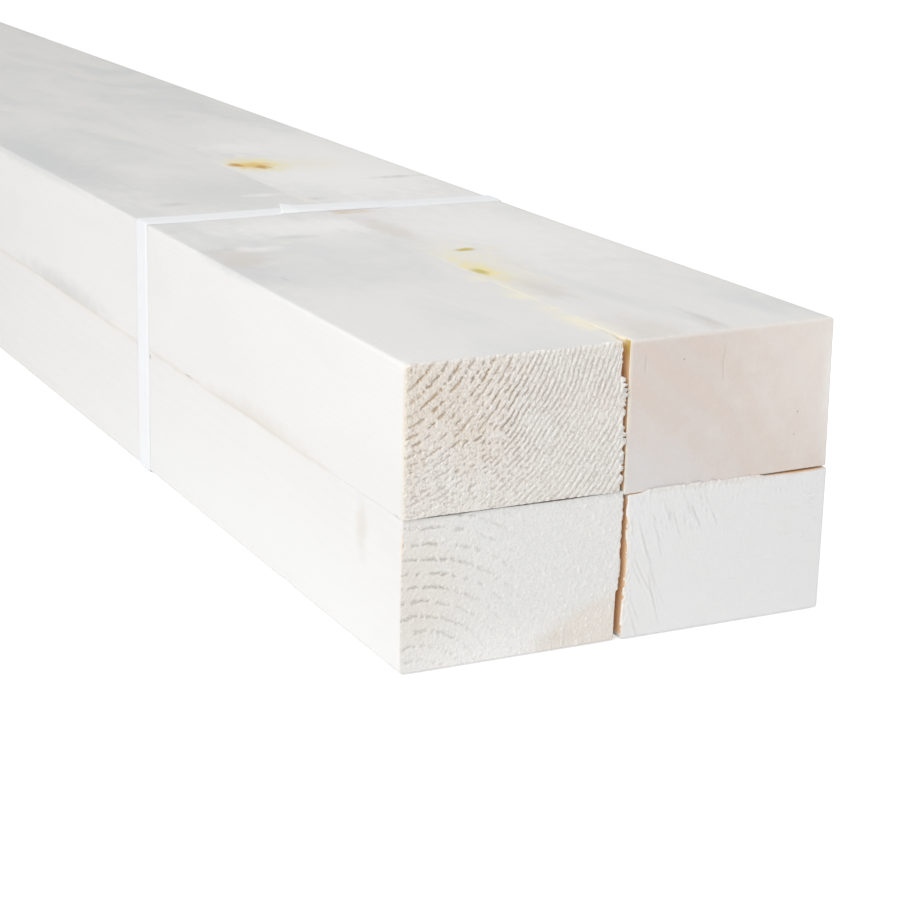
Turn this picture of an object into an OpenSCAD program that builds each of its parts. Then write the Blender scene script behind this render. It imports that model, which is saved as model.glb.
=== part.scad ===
// Bundle of four planed pine studs, stacked two wide and two high and held by two plastic straps.
// It lies with its length along Y. X = 0 and Y = 0 are its middle, and Z = 0 is the underside of the straps.

/* [Studs] */
// Width of a stud, across its broad face
stud_width = 70; // [45:1:145]
// Thickness of a stud
stud_thickness = 45; // [28:1:70]
// Length of a stud
stud_length = 2400; // [1800:100:5400]
// Radius of the eased long edges
arris_radius = 0.8; // [0.6:0.1:5]

/* [Stack] */
// Gap between the left and the right studs
column_gap = 1.3; // [0.4:0.1:6]
// Farthest that the end of a stud stands out of line with the others
end_stagger = 0.6; // [0:0.1:10]

/* [Straps] */
// Width of a strap
strap_width = 12; // [9:1:19]
// Thickness of a strap
strap_thickness = 0.6; // [0.4:0.05:1.2]
// Distance from the end of the studs to the middle of a strap
strap_inset = 218; // [60:1:600]
// How much tighter a strap bends than the eased edge under it
bend_clearance = 0.3; // [0.1:0.05:0.5]

/* [Strap joint] */
// Distance from the middle of the bundle to the free end of the overlap
weld_offset = 15; // [5:1:25]
// Length of the welded overlap, from its free end to its ramp
weld_length = 38; // [20:1:50]
// Length of the loose lip at the free end
lip_length = 6; // [2:0.5:12]
// Height of the lip's tip above the strap under it
lip_rise = 0.8; // [0.2:0.1:3]
// Length of the ramp down to the single strap
ramp_length = 3; // [1:0.5:8]

/* [Hidden] */

// Sides of the full circle behind each rounded edge
$fn = 48;

// Colours of the planed faces and of the strap
pine_colour = [0.93, 0.90, 0.85];
strap_colour = [0.95, 0.96, 0.97];

// Columns and ends as signs along X and Y, rows as counts up from the bottom
LEFT = -1;
RIGHT = 1;
BOTTOM = 0;
TOP = 1;
FRONT = -1;
REAR = 1;

// Share of the stagger that each stud takes, positive towards the rear
top_left_share = -1;
top_right_share = 0.3;
bottom_left_share = 1;
bottom_right_share = -0.2;

// The stack that the straps go round
column_pitch = stud_width + column_gap;
bundle_width = stud_width + column_pitch;
bundle_height = 2 * stud_thickness;
bundle_top = strap_thickness + bundle_height;

// The middle line of a strap, and the inside radius of its bends
strap_place = stud_length / 2 - strap_inset;
bend_radius = arris_radius - bend_clearance;

// The overlap, from its free end on the left to the foot of its ramp, and the levels of its layers
free_end = -weld_offset;
lip_root = free_end + lip_length;
ramp_head = free_end + weld_length;
ramp_foot = ramp_head + ramp_length;
layer_base = bundle_top + strap_thickness;
layer_top = layer_base + strap_thickness;

// Rectangle with rounded corners, centred on X, with its lower side on the X axis
module rounded_section(width, height, radius) {
    translate([-width / 2 + radius, 0]) square([width - 2 * radius, height]);
    translate([-width / 2, radius]) square([width, height - 2 * radius]);
    for (x = [-width / 2 + radius, width / 2 - radius], y = [radius, height - radius])
        translate([x, y]) circle(r = radius);
}

// Stands a section, drawn in X and Z, out along Y about its middle
module run_along_y(length) {
    translate([0, length / 2, 0]) rotate([90, 0, 0]) linear_extrude(height = length) children();
}

// One stud: a planed section with eased long edges, sawn square at both ends
module stud(column, row, stagger_share) {
    color(pine_colour)
        translate([
            column * column_pitch / 2,
            stagger_share * end_stagger,
            strap_thickness + row * stud_thickness
        ])
            run_along_y(stud_length) rounded_section(stud_width, stud_thickness, arris_radius);
}

module stud_top_left() { stud(LEFT, TOP, top_left_share); }

module stud_top_right() { stud(RIGHT, TOP, top_right_share); }

module stud_bottom_left() { stud(LEFT, BOTTOM, bottom_left_share); }

module stud_bottom_right() { stud(RIGHT, BOTTOM, bottom_right_share); }

// Closed band that lies flat on the four outer sides of the stack
module strap_loop() {
    difference() {
        rounded_section(
            bundle_width + 2 * strap_thickness,
            bundle_height + 2 * strap_thickness,
            bend_radius + strap_thickness
        );
        translate([0, strap_thickness]) rounded_section(bundle_width, bundle_height, bend_radius);
    }
}

// Second layer of strap where its two ends are welded, with a loose lip on the left and a ramp on the right
module strap_overlap() {
    polygon([
        [free_end, layer_base + lip_rise],
        [lip_root, layer_base],
        [lip_root, bundle_top],
        [ramp_foot, bundle_top],
        [ramp_foot, layer_base],
        [ramp_head, layer_top],
        [lip_root, layer_top],
        [free_end, layer_top + lip_rise]
    ]);
}

// One strap, with its joint on the top of the bundle
module strap(end) {
    color(strap_colour)
        translate([0, end * strap_place, 0])
            run_along_y(strap_width) {
                strap_loop();
                strap_overlap();
            }
}

module strap_front() { strap(FRONT); }

module strap_rear() { strap(REAR); }

stud_top_left();
stud_top_right();
stud_bottom_left();
stud_bottom_right();
strap_front();
strap_rear();
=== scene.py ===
"""Dresses the strapped bundle of pine studs: sawn ends, planed faces, welded straps and a pale studio.

Lengths are in mm where a line names no other unit, and places are in the row frame.
"""

import logging
import math
from collections.abc import Sequence
from dataclasses import dataclass, field
from enum import Enum, IntEnum

import bpy
import numpy as np
from mathutils import Matrix, Vector


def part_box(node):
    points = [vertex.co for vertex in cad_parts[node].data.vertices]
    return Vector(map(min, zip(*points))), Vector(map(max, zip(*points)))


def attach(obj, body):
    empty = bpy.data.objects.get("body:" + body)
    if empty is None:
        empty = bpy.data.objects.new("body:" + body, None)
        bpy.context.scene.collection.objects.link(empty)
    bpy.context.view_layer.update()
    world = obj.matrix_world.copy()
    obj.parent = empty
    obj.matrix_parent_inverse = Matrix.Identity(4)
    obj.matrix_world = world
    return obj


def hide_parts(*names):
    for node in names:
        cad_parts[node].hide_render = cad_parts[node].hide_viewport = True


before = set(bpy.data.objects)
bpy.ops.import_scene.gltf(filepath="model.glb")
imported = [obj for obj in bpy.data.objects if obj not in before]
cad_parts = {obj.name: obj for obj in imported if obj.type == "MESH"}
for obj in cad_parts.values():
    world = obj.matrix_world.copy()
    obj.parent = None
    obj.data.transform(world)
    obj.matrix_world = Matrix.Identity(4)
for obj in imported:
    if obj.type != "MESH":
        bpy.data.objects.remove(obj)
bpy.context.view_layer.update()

log = logging.getLogger("bundle")

Array = np.ndarray
Colour = tuple[int, int, int]
Cells = tuple[int, int]
Pair = tuple[float, float]
Place = tuple[float, float, float]
Ring = tuple[Array, Array, Array]
Socket = bpy.types.NodeSocket
Input = Socket | float | Sequence[float]

MM = 0.001
ROOT = "root"
WHITE = (1.0, 1.0, 1.0, 1.0)
TINY = 1e-9

# The standard curve between screen colours and linear light
FULL_LEVEL = 255
CURVE_KNEE = 0.04045
CURVE_SLOPE = 12.92
CURVE_SHIFT = 0.055
CURVE_POWER = 2.4


def linear(colour: Colour) -> tuple[float, float, float, float]:
    """Turns a screen colour into the linear one that a shader takes.

    Args:
        colour: Red, green and blue from 0 to 255.

    Returns:
        Linear red, green, blue and an alpha of 1.
    """
    shares = np.array(colour) / FULL_LEVEL
    curved = ((shares + CURVE_SHIFT) / (1 + CURVE_SHIFT)) ** CURVE_POWER
    return (*np.where(shares < CURVE_KNEE, shares / CURVE_SLOPE, curved), 1.0)


def ease(value: Array, low: float = 0.0, high: float = 1.0) -> Array:
    """Rises smoothly from 0 at low to 1 at high, which may be below low."""
    share = np.clip((value - low) / (high - low), 0, 1)
    return share * share * (3 - 2 * share)


class Noise:
    """Smooth noise on a plane, read from a seeded lattice of random levels."""

    LATTICE = 256
    LAYER_SHIFTS = (37, 91)

    def __init__(self, seed: int) -> None:
        """Fills the lattice from the seed."""
        self.levels = np.random.default_rng(seed).random((self.LATTICE, self.LATTICE))

    def at(self, a: Array, b: Array) -> Array:
        """Reads the noise.

        Args:
            a: First coordinate, in steps of the lattice.
            b: Second coordinate, in steps of the lattice.

        Returns:
            A level from 0 to 1 for each point.
        """
        a, b = np.broadcast_arrays(a, b)
        row, column = np.floor(a).astype(int), np.floor(b).astype(int)
        down, across = ease(a - row), ease(b - column)
        rows = row % self.LATTICE, (row + 1) % self.LATTICE
        columns = column % self.LATTICE, (column + 1) % self.LATTICE
        first, second = (
            self.levels[r, columns[0]] * (1 - across) + self.levels[r, columns[1]] * across for r in rows
        )
        return first * (1 - down) + second * down

    def layered(self, a: Array, b: Array, layers: int = 3) -> Array:
        """Adds finer and weaker layers of the noise.

        Args:
            a: First coordinate, in steps of the coarsest layer.
            b: Second coordinate, in the same steps.
            layers: How many layers, each twice as fine as the last.

        Returns:
            A level from 0 to 1 for each point.
        """
        shift_a, shift_b = self.LAYER_SHIFTS
        weights = [0.5**k for k in range(layers)]
        levels = [self.at(a * 2**k + shift_a * k, b * 2**k + shift_b * k) for k in range(layers)]
        return sum(w * level for w, level in zip(weights, levels)) / sum(weights)

    def along(self, share: Array, steps: int, row: int) -> Array:
        """Reads one row of the lattice along an edge, in so many steps from its start to its end."""
        return self.at(share * steps, row)


@dataclass(frozen=True)
class Patches:
    """How a noise is laid over a section.

    Attributes:
        size: Size of its patches across and up.
        start: Place on the lattice from which it is read.
        layers: How many layers it has.
    """

    size: Pair
    start: Pair = (0.0, 0.0)
    layers: int = 1


@dataclass(frozen=True)
class CutGrid:
    """Points of a sawn end.

    Attributes:
        u, v: Places across and up the section.
        noise: Noise of the cut.
    """

    u: Array
    v: Array
    noise: Noise

    @property
    def width(self) -> float:
        """Width of the section, in mm."""
        return self.u.max()

    @property
    def height(self) -> float:
        """Height of the section, in mm."""
        return self.v.max()

    def off(self, place: Pair) -> Array:
        """Distances from a place on the section, in mm."""
        return np.hypot(self.u - place[0], self.v - place[1])

    def read(self, patches: Patches) -> Array:
        """Levels of the noise from 0 to 1, laid over the section in patches."""
        (wide, high), (first, second) = patches.size, patches.start
        return self.noise.layered(self.u / wide + first, self.v / high + second, patches.layers)

    def sway(self, patches: Patches) -> Array:
        """Levels of the noise from -1 to 1, laid over the section in patches."""
        return 2 * self.read(patches) - 1


class Side(IntEnum):
    """Long sides of a stud, in the order in which its section is walked, seen from the front."""

    BOTTOM = 0
    RIGHT = 1
    TOP = 2
    LEFT = 3


# Length of the walk round a section, 1 for each side
WALK = float(len(Side))
OUTWARD = {Side.BOTTOM: (0, -1), Side.RIGHT: (1, 0), Side.TOP: (0, 1), Side.LEFT: (-1, 0)}


def from_side(side: Side, u: Array, v: Array, width: float, height: float) -> tuple[Array, Array]:
    """Measures points of a section from one of its sides.

    Args:
        side: The side.
        u, v: Places across and up the section.
        width, height: Size of the section.

    Returns:
        The distance inwards from the side in mm, and the share of the walk along it.
    """
    return {
        Side.BOTTOM: (v, u / width),
        Side.RIGHT: (width - u, v / height),
        Side.TOP: (height - v, 1 - u / width),
        Side.LEFT: (u, 1 - v / height),
    }[side]


class Mark(Enum):
    """Kinds of mark: a colour, the share of it that covers, and the share of its reach that is even."""

    KNOT = (240, 204, 126), 0.85, 0.2
    KNOT_HEART = (206, 152, 80), 0.8, 0.2
    RESIN = (250, 234, 160), 0.75, 0.0
    OLIVE = (206, 190, 84), 0.9, 0.2
    HALO = (247, 243, 226), 0.6, 0.0
    GREY = (210, 210, 208), 0.6, 0.0
    SMOKE = (219, 220, 220), 0.8, 0.1
    HAZE = (219, 220, 220), 0.5, 0.1
    LIGHT = (246, 246, 243), 0.3, 0.0
    PALE = (254, 253, 251), 0.7, 0.0
    CLEAN = (242, 242, 241), 0.8, 0.2
    COOL = (229, 227, 227), 0.8, 0.0
    ROSY = (246, 239, 232), 0.8, 0.0
    BEIGE = (238, 231, 222), 0.85, 0.8
    WARM = (234, 219, 200), 0.5, 0.0
    BLUSH = (250, 226, 206), 0.7, 0.1
    CLAY = (224, 217, 209), 0.55, 0.0
    TAN = (226, 200, 166), 0.65, 0.0
    # Partly warmer wood and partly painted bounce light, in the mouth of a gap
    AMBER_AND_BOUNCE = (222, 168, 108), 0.9, 0.2
    PIN = (150, 132, 120), 0.55, 0.3
    # Painted shade in a seam
    SEAM_SHADE = (118, 100, 86), 0.9, 0.3


@dataclass(frozen=True)
class Blemish:
    """One mark on a stud.

    Attributes:
        mark: Kind of mark.
        centre: Its middle in the row frame.
        reach: Its half lengths along X, Y and Z.
        ragged: How far its rim strays, as a share of its reach.
    """

    mark: Mark
    centre: Place
    reach: Place
    ragged: float = 0.6


@dataclass(frozen=True)
class GrowthRings:
    """Growth rings round a pith that runs along the stud.

    Attributes:
        pith: Pith from the lower left corner of the section.
        inner: Width of a ring at the pith.
        outer: Width of a ring from span onwards.
        span: Distance from the pith over which the width changes.
        wander: How far the rings stray from circles.
    """

    pith: Pair
    inner: float
    outer: float
    span: float = 60.0
    wander: float = 1.0

    def polar(self, u: Array, v: Array) -> tuple[Array, Array]:
        """Distance from the pith and place along the ring.

        Args:
            u, v: Places across and up the section.

        Returns:
            The distance and the length of arc.
        """
        across, up = u - self.pith[0], v - self.pith[1]
        radius = np.hypot(across, up)
        return radius, np.arctan2(up, across) * radius.mean()

    def count(self, radius: Array) -> Array:
        """Number of rings between the pith and a distance from it.

        Args:
            radius: Distances from the pith.

        Returns:
            The number of rings, with its fraction.
        """
        slope = (self.outer - self.inner) / self.span
        within = np.minimum(radius, self.span)
        inside = np.log1p(slope * within / self.inner) / slope if slope else within / self.inner
        return inside + np.maximum(radius - self.span, 0) / self.outer

    def width(self, radius: Array) -> Array:
        """Width of the rings at distances from the pith, all in mm."""
        return self.inner + (self.outer - self.inner) * np.minimum(radius, self.span) / self.span


@dataclass(frozen=True)
class Burr:
    """Fibres that the saw pushed out over one edge of an end.

    Attributes:
        side: Long side over whose edge they stand.
        reach: How far the longest stand out.
        start, stop: Shares of the edge between which they stand, along the walk round the section.
        flake: Depth along the stud over which they taper off.
        coverage: Share of the edge that they cover.
    """

    side: Side
    reach: float
    start: float = 0.0
    stop: float = 1.0
    flake: float = 1.3
    coverage: float = 0.6


@dataclass(frozen=True)
class Scratches:
    """A family of scratches that the saw left on an end.

    Attributes:
        count: How many there are.
        across: Shares of the width between which they start.
        up: Shares of the height between which they start.
        lean: How steeply they run down to the right, in degrees.
        length: Shortest and longest.
        force: Weakest and strongest, from 0 to 1.
    """

    count: int
    across: Pair
    up: Pair
    lean: float
    length: Pair
    force: Pair


@dataclass(frozen=True)
class CutSurface:
    """Shape and colour of a sawn end, over the grid of its points.

    Attributes:
        depth: Depth below the plane of the cut.
        torn: How dark a torn groove, crack, scratch or pit is, from 0 to 1: partly its own colour, partly
            painted shade in the hollow.
        stain: How brown it is, from 0 to 1.
        pale: How white the raised fibres are, from 0 to 1.
    """

    depth: Array
    torn: Array
    stain: Array
    pale: Array


@dataclass(frozen=True)
class SawCut:
    """How the saw left one end of a stud.

    Attributes:
        seed: Seed of its noise.
        groove_depth: Depth of the torn early wood between the rings.
        groove_width: Half width of a torn groove.
        dash: Length of an unbroken stretch of groove.
        dash_level: Share of a groove that is lost in the breaks between its dashes.
        jitter: How far a groove strays within a dash.
        broken: Share of a groove's depth that comes and goes along it.
        loose: Place across and up the section round which the grooves break up into fewer dashes.
        loose_reach: Distances from there over which that ends.
        loosened: Share of the dashes that is lost there.
        heart: Place across and up the section at which the grooves are strongest.
        fade: Distances from there between which they fade.
        faded: Share of them that is lost beyond.
        calmed: Share of their breaks and of their straying that is lost towards the right.
        fuzz: Height of the raised fibres all over.
        flecks: How many white fibres stand up, from 0 to 1.
        pits: How dark the fine pits are, from 0 to 1, partly as painted shade in them.
        sunk: How far the whole cut lies below the end of the solid.
        tint: How dark the deepest grooves are, from 0 to 1, partly as painted shade in them.
        stain: How brown the grooves near the upper left corner are, from 0 to 1.
        scratches: Families of saw scratches.
        checks: Fine cracks, each as its place across and its lower and upper end.
        burrs: Burrs along its edges.
    """

    seed: int
    groove_depth: float = 0.0
    groove_width: float = 0.35
    dash: float = 1.6
    dash_level: float = 0.4
    jitter: float = 0.5
    broken: float = 0.6
    loose: Pair = (0.0, 0.0)
    loose_reach: Pair = (10.0, 42.0)
    loosened: float = 0.0
    heart: Pair = (0.0, 22.0)
    fade: Pair = (60.0, 140.0)
    faded: float = 1.0
    calmed: float = 0.0
    fuzz: float = 0.05
    flecks: float = 0.3
    pits: float = 0.0
    sunk: float = 0.0
    tint: float = 0.0
    stain: float = 0.0
    scratches: tuple[Scratches, ...] = ()
    checks: tuple[Place, ...] = ()
    burrs: tuple[Burr, ...] = ()

    STRAY = Patches((11.0, 11.0), layers=3)
    JITTER = Patches((1.1, 1.1), (11.0, 0.0), 2)
    GRAIN = Patches((0.5, 0.5), (0.0, 40.0))
    STRENGTH = Patches((8.0, 8.0), (50.0, 0.0), 3)
    FIBRES = Patches((0.8, 0.5), (7.0, 90.0))
    FUZZ = Patches((0.55, 0.55), (9.0, 0.0), 2)
    TUFTS = Patches((0.7, 1.4), (3.0, 5.0))
    PITS = Patches((0.42, 0.42), (71.0, 23.0))
    STAINS = Patches((4.0, 4.0), (31.0, 63.0), 3)

    GRAIN_SHARE = 0.25
    RING_ROWS = 17
    DASH_EDGE = 0.07
    STRENGTHS = (0.45, 1.1)
    GROOVE_SLOPES = (0.75, 1.3)
    CALM_SPAN = (24.0, 44.0)
    TORN_POWER = 1.3
    RIDGE_PLACE = 2.2
    FIBRE_RANGE = (0.5, 0.85)
    FIBRE_REST = 0.3
    FLECK_RISE = 0.16
    FLECK_LIGHT = 0.8
    STAIN_ZONE = (12.0, 46.0)
    STAIN_REST = 0.1
    STAIN_RANGE = (0.4, 0.6)
    PIT_DEPTH = 0.08
    PIT_RANGE = (0.6, 0.85)

    SCRATCH_SEED = 1
    SCRATCH_DEPTH = 0.13
    SCRATCH_WIDTH = 0.34
    SCRATCH_TINT = 0.24
    SCRATCH_STRAY = 0.3
    SCRATCH_STEP = 4.0
    SCRATCH_BOW = 0.002
    SCRATCH_TAPERS = (0.25, 0.6)
    LEAN_SPREAD = 7.0
    SKIP_STEP = 2.2
    SKIP_ROWS = 7
    SKIP_RANGE = (0.1, 0.5)
    SKIP_REST = 0.3
    LIP_SHARE = 0.7
    LIP_PLACE = 0.7

    CHECK_DEPTH = 0.07
    CHECK_WIDTH = 0.28
    CHECK_TINT = 0.2
    CHECK_STRAY = 0.8
    CHECK_STEP = 3.0
    CHECK_TIP = 2.0

    FRINGE_REACH = 2.0
    FRINGE_FADE = 0.03
    TUFT_RANGE = (0.4, 0.75)
    BURR_SEED = 40
    BURR_FADE = 0.01
    BURR_GAIN = 1.3
    BARE_LEVELS = (0.7, 0.6)
    CLUMPS = (17, 3)
    CLUMP_SPREAD = 0.35
    SPIKES = (60, 7)
    SPIKE_RANGE = (0.12, 0.6)
    TEETH = (70, 11)
    TOOTH_RANGE = (0.5, 0.95)
    TOOTH_SHARE = 0.4
    FRAYS = (170, 19)
    FRAY_LEVELS = (0.6, 0.8)

    def relief(self, rings: GrowthRings, u: Array, v: Array) -> CutSurface:
        """Shape and colour of the cut.

        Args:
            rings: Growth rings that the cut crosses.
            u, v: Places across and up the section.

        Returns:
            The cut's surface over these places.
        """
        grid = CutGrid(u, v, Noise(self.seed))
        groove, flecks = self.grooves(rings, grid)
        deep = np.clip(groove, 0, 1)
        flecks = np.maximum(flecks, self.fringe(grid) * ease(grid.read(self.TUFTS), *self.TUFT_RANGE))
        cracks = self.checked(grid)
        furrows, lips = self.scratched(grid)
        pits = self.pits * ease(grid.read(self.PITS), *self.PIT_RANGE)
        depth = self.sunk + self.groove_depth * groove + self.fuzz * grid.sway(self.FUZZ)
        depth += self.SCRATCH_DEPTH * (furrows - lips) - self.FLECK_RISE * flecks
        depth += self.CHECK_DEPTH * cracks + self.PIT_DEPTH * pits
        corner = 1 - ease(grid.off((0.0, grid.height)), *self.STAIN_ZONE)
        stain = self.stain * deep**2 * (self.STAIN_REST + (1 - self.STAIN_REST) * corner)
        stain = stain * ease(grid.read(self.STAINS), *self.STAIN_RANGE)
        # Darkness in the grooves, cracks, scratches and pits: partly the torn wood's own colour, partly
        # painted shade in these hollows
        torn = np.maximum(self.tint * deep**self.TORN_POWER, self.CHECK_TINT * cracks)
        torn = np.maximum(torn, self.SCRATCH_TINT * np.minimum(furrows, 1))
        torn = np.maximum(torn, pits)
        return CutSurface(depth, torn, np.clip(stain, 0, 1), self.FLECK_LIGHT * flecks)

    def grooves(self, rings: GrowthRings, grid: CutGrid) -> tuple[Array, Array]:
        """Torn grooves along the rings, broken into dashes, and the white fibres that stand beside them.

        Args:
            rings: Growth rings that the cut crosses.
            grid: Points of the cut.

        Returns:
            Levels of the grooves and of the fibres, from 0 to about 1.
        """
        radius, arc = rings.polar(grid.u, grid.v)
        far = ease(grid.off(self.heart), *self.fade)
        calm = 1 - self.calmed * ease(grid.u, *self.CALM_SPAN)
        bent = radius + rings.wander * grid.sway(self.STRAY)
        bent = bent + self.jitter / 2 * calm * grid.sway(self.JITTER)
        count, width = rings.count(bent), rings.width(bent)
        ring = np.floor(count)
        off = (count - ring - 0.5) * width
        patchy = grid.noise.at(arc / self.dash, self.RING_ROWS * ring)
        patchy = patchy + self.GRAIN_SHARE * grid.sway(self.GRAIN)
        loose = 1 - ease(grid.off(self.loose), *self.loose_reach)
        missing = self.dash_level + self.loosened * loose
        dashes = ease(patchy - missing, -self.DASH_EDGE, self.DASH_EDGE)
        broken = self.broken * calm
        least, added = self.STRENGTHS
        strength = (least + added * grid.read(self.STRENGTH)) * (1 - self.faded * far)
        widened = np.sqrt(width / rings.outer)
        half = self.groove_width * widened * np.where(off < 0, *self.GROOVE_SLOPES)
        strength = strength * (1 - broken + broken * dashes) / np.sqrt(widened)
        groove = strength * np.exp(-((off / half) ** 2))
        ridge = np.exp(-((off / self.groove_width - self.RIDGE_PLACE) ** 2))
        fibres = ease(CutGrid(arc, radius, grid.noise).read(self.FIBRES), *self.FIBRE_RANGE)
        fibres = self.flecks * fibres * (self.FIBRE_REST + (1 - self.FIBRE_REST) * ridge)
        return groove, fibres * (1 - np.clip(groove, 0, 1))

    def fringe(self, grid: CutGrid) -> Array:
        """How close places are to an edge with burrs.

        Args:
            grid: Points of the cut.

        Returns:
            A level that is 1 at such an edge and falls to 0 inwards.
        """
        level = np.zeros_like(grid.u)
        fade = self.FRINGE_FADE
        for burr in self.burrs:
            off, share = from_side(burr.side, grid.u, grid.v, grid.width, grid.height)
            inside = ease(share, burr.start - fade, burr.start + fade)
            inside = inside * (1 - ease(share, burr.stop - fade, burr.stop))
            near = np.exp(-((off / self.FRINGE_REACH) ** 2))
            level = np.maximum(level, inside * near * min(burr.reach, 1))
        return level

    def checked(self, grid: CutGrid) -> Array:
        """Where the fine cracks are.

        Args:
            grid: Points of the cut.

        Returns:
            A level that is 1 in the middle of a crack.
        """
        level = np.zeros_like(grid.u)
        for place, low, high in self.checks:
            stray = self.CHECK_STRAY * (grid.noise.at(grid.v / self.CHECK_STEP, place) - 0.5)
            window = ease(grid.v, low, low + self.CHECK_TIP) * (1 - ease(grid.v, high - self.CHECK_TIP, high))
            crack = np.exp(-(((grid.u - place + stray) / self.CHECK_WIDTH) ** 2))
            level = np.maximum(level, window * crack)
        return level

    def scratched(self, grid: CutGrid) -> tuple[Array, Array]:
        """The saw's scratches, each with fibres that stand up beside it.

        Args:
            grid: Points of the cut.

        Returns:
            Levels of the furrows and of the lips beside them, from 0 to about 1.
        """
        draw = np.random.default_rng(self.seed + self.SCRATCH_SEED)
        furrows, lips = np.zeros_like(grid.u), np.zeros_like(grid.u)
        begun, ending = self.SCRATCH_TAPERS
        for family in (f for f in self.scratches for _ in range(f.count)):
            across, up = draw.uniform(*family.across) * grid.width, draw.uniform(*family.up) * grid.height
            lean = math.radians(family.lean + draw.uniform(-self.LEAN_SPREAD, self.LEAN_SPREAD))
            length, force = draw.uniform(*family.length), draw.uniform(*family.force)
            du, dv = grid.u - across, grid.v - up
            run = du * math.cos(lean) - dv * math.sin(lean)
            stray = self.SCRATCH_STRAY * (grid.noise.at(run / self.SCRATCH_STEP, across) - 0.5)
            aside = -du * math.sin(lean) - dv * math.cos(lean) + self.SCRATCH_BOW * run**2 + stray
            skips = ease(grid.noise.at(run / self.SKIP_STEP, self.SKIP_ROWS * across), *self.SKIP_RANGE)
            level = force * (self.SKIP_REST + (1 - self.SKIP_REST) * skips)
            level = level * ease(run, 0, begun * length) * (1 - ease(run, ending * length, length))
            furrows += level * np.exp(-((aside / self.SCRATCH_WIDTH) ** 2))
            beside = (aside - self.LIP_PLACE) / self.SCRATCH_WIDTH
            lips += self.LIP_SHARE * level * np.exp(-(beside**2))
        return furrows, lips

    def burr_lift(self, side: int, share: Array) -> tuple[Array, Array]:
        """How far the burrs of one side stand out along its edge.

        Args:
            side: Number of the side.
            share: Places along the edge, from 0 to 1.

        Returns:
            The lift in mm and the depth over which it tapers off.
        """
        lift, flake = np.zeros_like(share), np.ones_like(share)
        fade = self.BURR_FADE
        for number, burr in enumerate(b for b in self.burrs if b.side == side):
            noise = Noise(self.seed + self.BURR_SEED + number)
            inside = ease(share, burr.start - fade, burr.start + fade)
            inside = inside * (1 - ease(share, burr.stop - fade, burr.stop + fade))
            bare = self.BARE_LEVELS[0] - self.BARE_LEVELS[1] * burr.coverage
            clumps = ease(noise.along(share, *self.CLUMPS), bare, bare + self.CLUMP_SPREAD)
            spikes = ease(noise.along(share, *self.SPIKES), *self.SPIKE_RANGE)
            teeth = self.TOOTH_SHARE * ease(noise.along(share, *self.TEETH), *self.TOOTH_RANGE)
            frayed = self.FRAY_LEVELS[0] + self.FRAY_LEVELS[1] * noise.along(share, *self.FRAYS)
            tufts = np.clip(self.BURR_GAIN * np.maximum(clumps * spikes, teeth) * frayed, 0, 1)
            here = burr.reach * inside * tufts
            flake = np.where(here > lift, burr.flake, flake)
            lift = np.maximum(lift, here)
        return lift, flake


@dataclass(frozen=True)
class Nick:
    """A dent or chip in an eased edge.

    Attributes:
        corner: Side that starts at this edge, in the walk round the section.
        place: Distance of its middle from the front end.
        length: Its whole length.
        depth: How far it cuts in.
        rough: How much its depth jumps about, from 0 to 1.
    """

    corner: Side
    place: float
    length: float
    depth: float
    rough: float = 1.0


@dataclass(frozen=True)
class Hollow:
    """A shallow hollow in a long side, next to the front end.

    Attributes:
        side: Side that it lies in.
        depth: How far it sinks, or swells where it is negative.
        taper: Distance from the front end at which it has died out.
        start, stop: Shares of the side between which it lies, along the walk round the section.
        slope: Share of the side over which its edges fall, to either side of those two places.
    """

    side: Side
    depth: float
    taper: float = 30.0
    start: float = 0.0
    stop: float = 1.0
    slope: float = 0.03


@dataclass(frozen=True)
class Warp:
    """How drying moved the corners of a section at the front end, across and up.

    Attributes:
        corners: Moves of the lower left, lower right, upper right and upper left corner.
        reach: Distance from the front end at which they have died out.
    """

    corners: tuple[Pair, Pair, Pair, Pair] = ((0.0, 0.0),) * 4
    reach: float = 200.0

    def moves(self, across: Array, up: Array, depth: Array) -> tuple[Array, Array]:
        """Moves of points of the stud.

        Args:
            across: Shares of the width.
            up: Shares of the height.
            depth: Distances from the front end.

        Returns:
            Moves across and up.
        """
        low = (1 - up) * (1 - ease(depth, 0, self.reach))
        high = up * (1 - ease(depth, 0, self.reach))
        weights = low * (1 - across), low * across, high * across, high * (1 - across)
        return tuple(sum(w * corner[axis] for w, corner in zip(weights, self.corners)) for axis in (0, 1))


@dataclass(frozen=True)
class EdgeTint:
    """A stretch of a long edge painted with a highlight, with shade, or with the gap's bounce light.

    Attributes:
        mask: Name of the mask that carries the colour.
        corner: Side that starts at this edge, in the walk round the section.
        start, stop: Distances from the front end between which it lies.
        level: How strong it is, from 0 to 1.
        reach: How far it spreads over the side before the edge and over the one after it.
        fade: Lengths over which it comes and goes.
    """

    mask: str
    corner: Side
    start: float
    stop: float
    level: float
    reach: Pair = (1.0, 1.0)
    fade: Pair = (20.0, 25.0)


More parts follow.
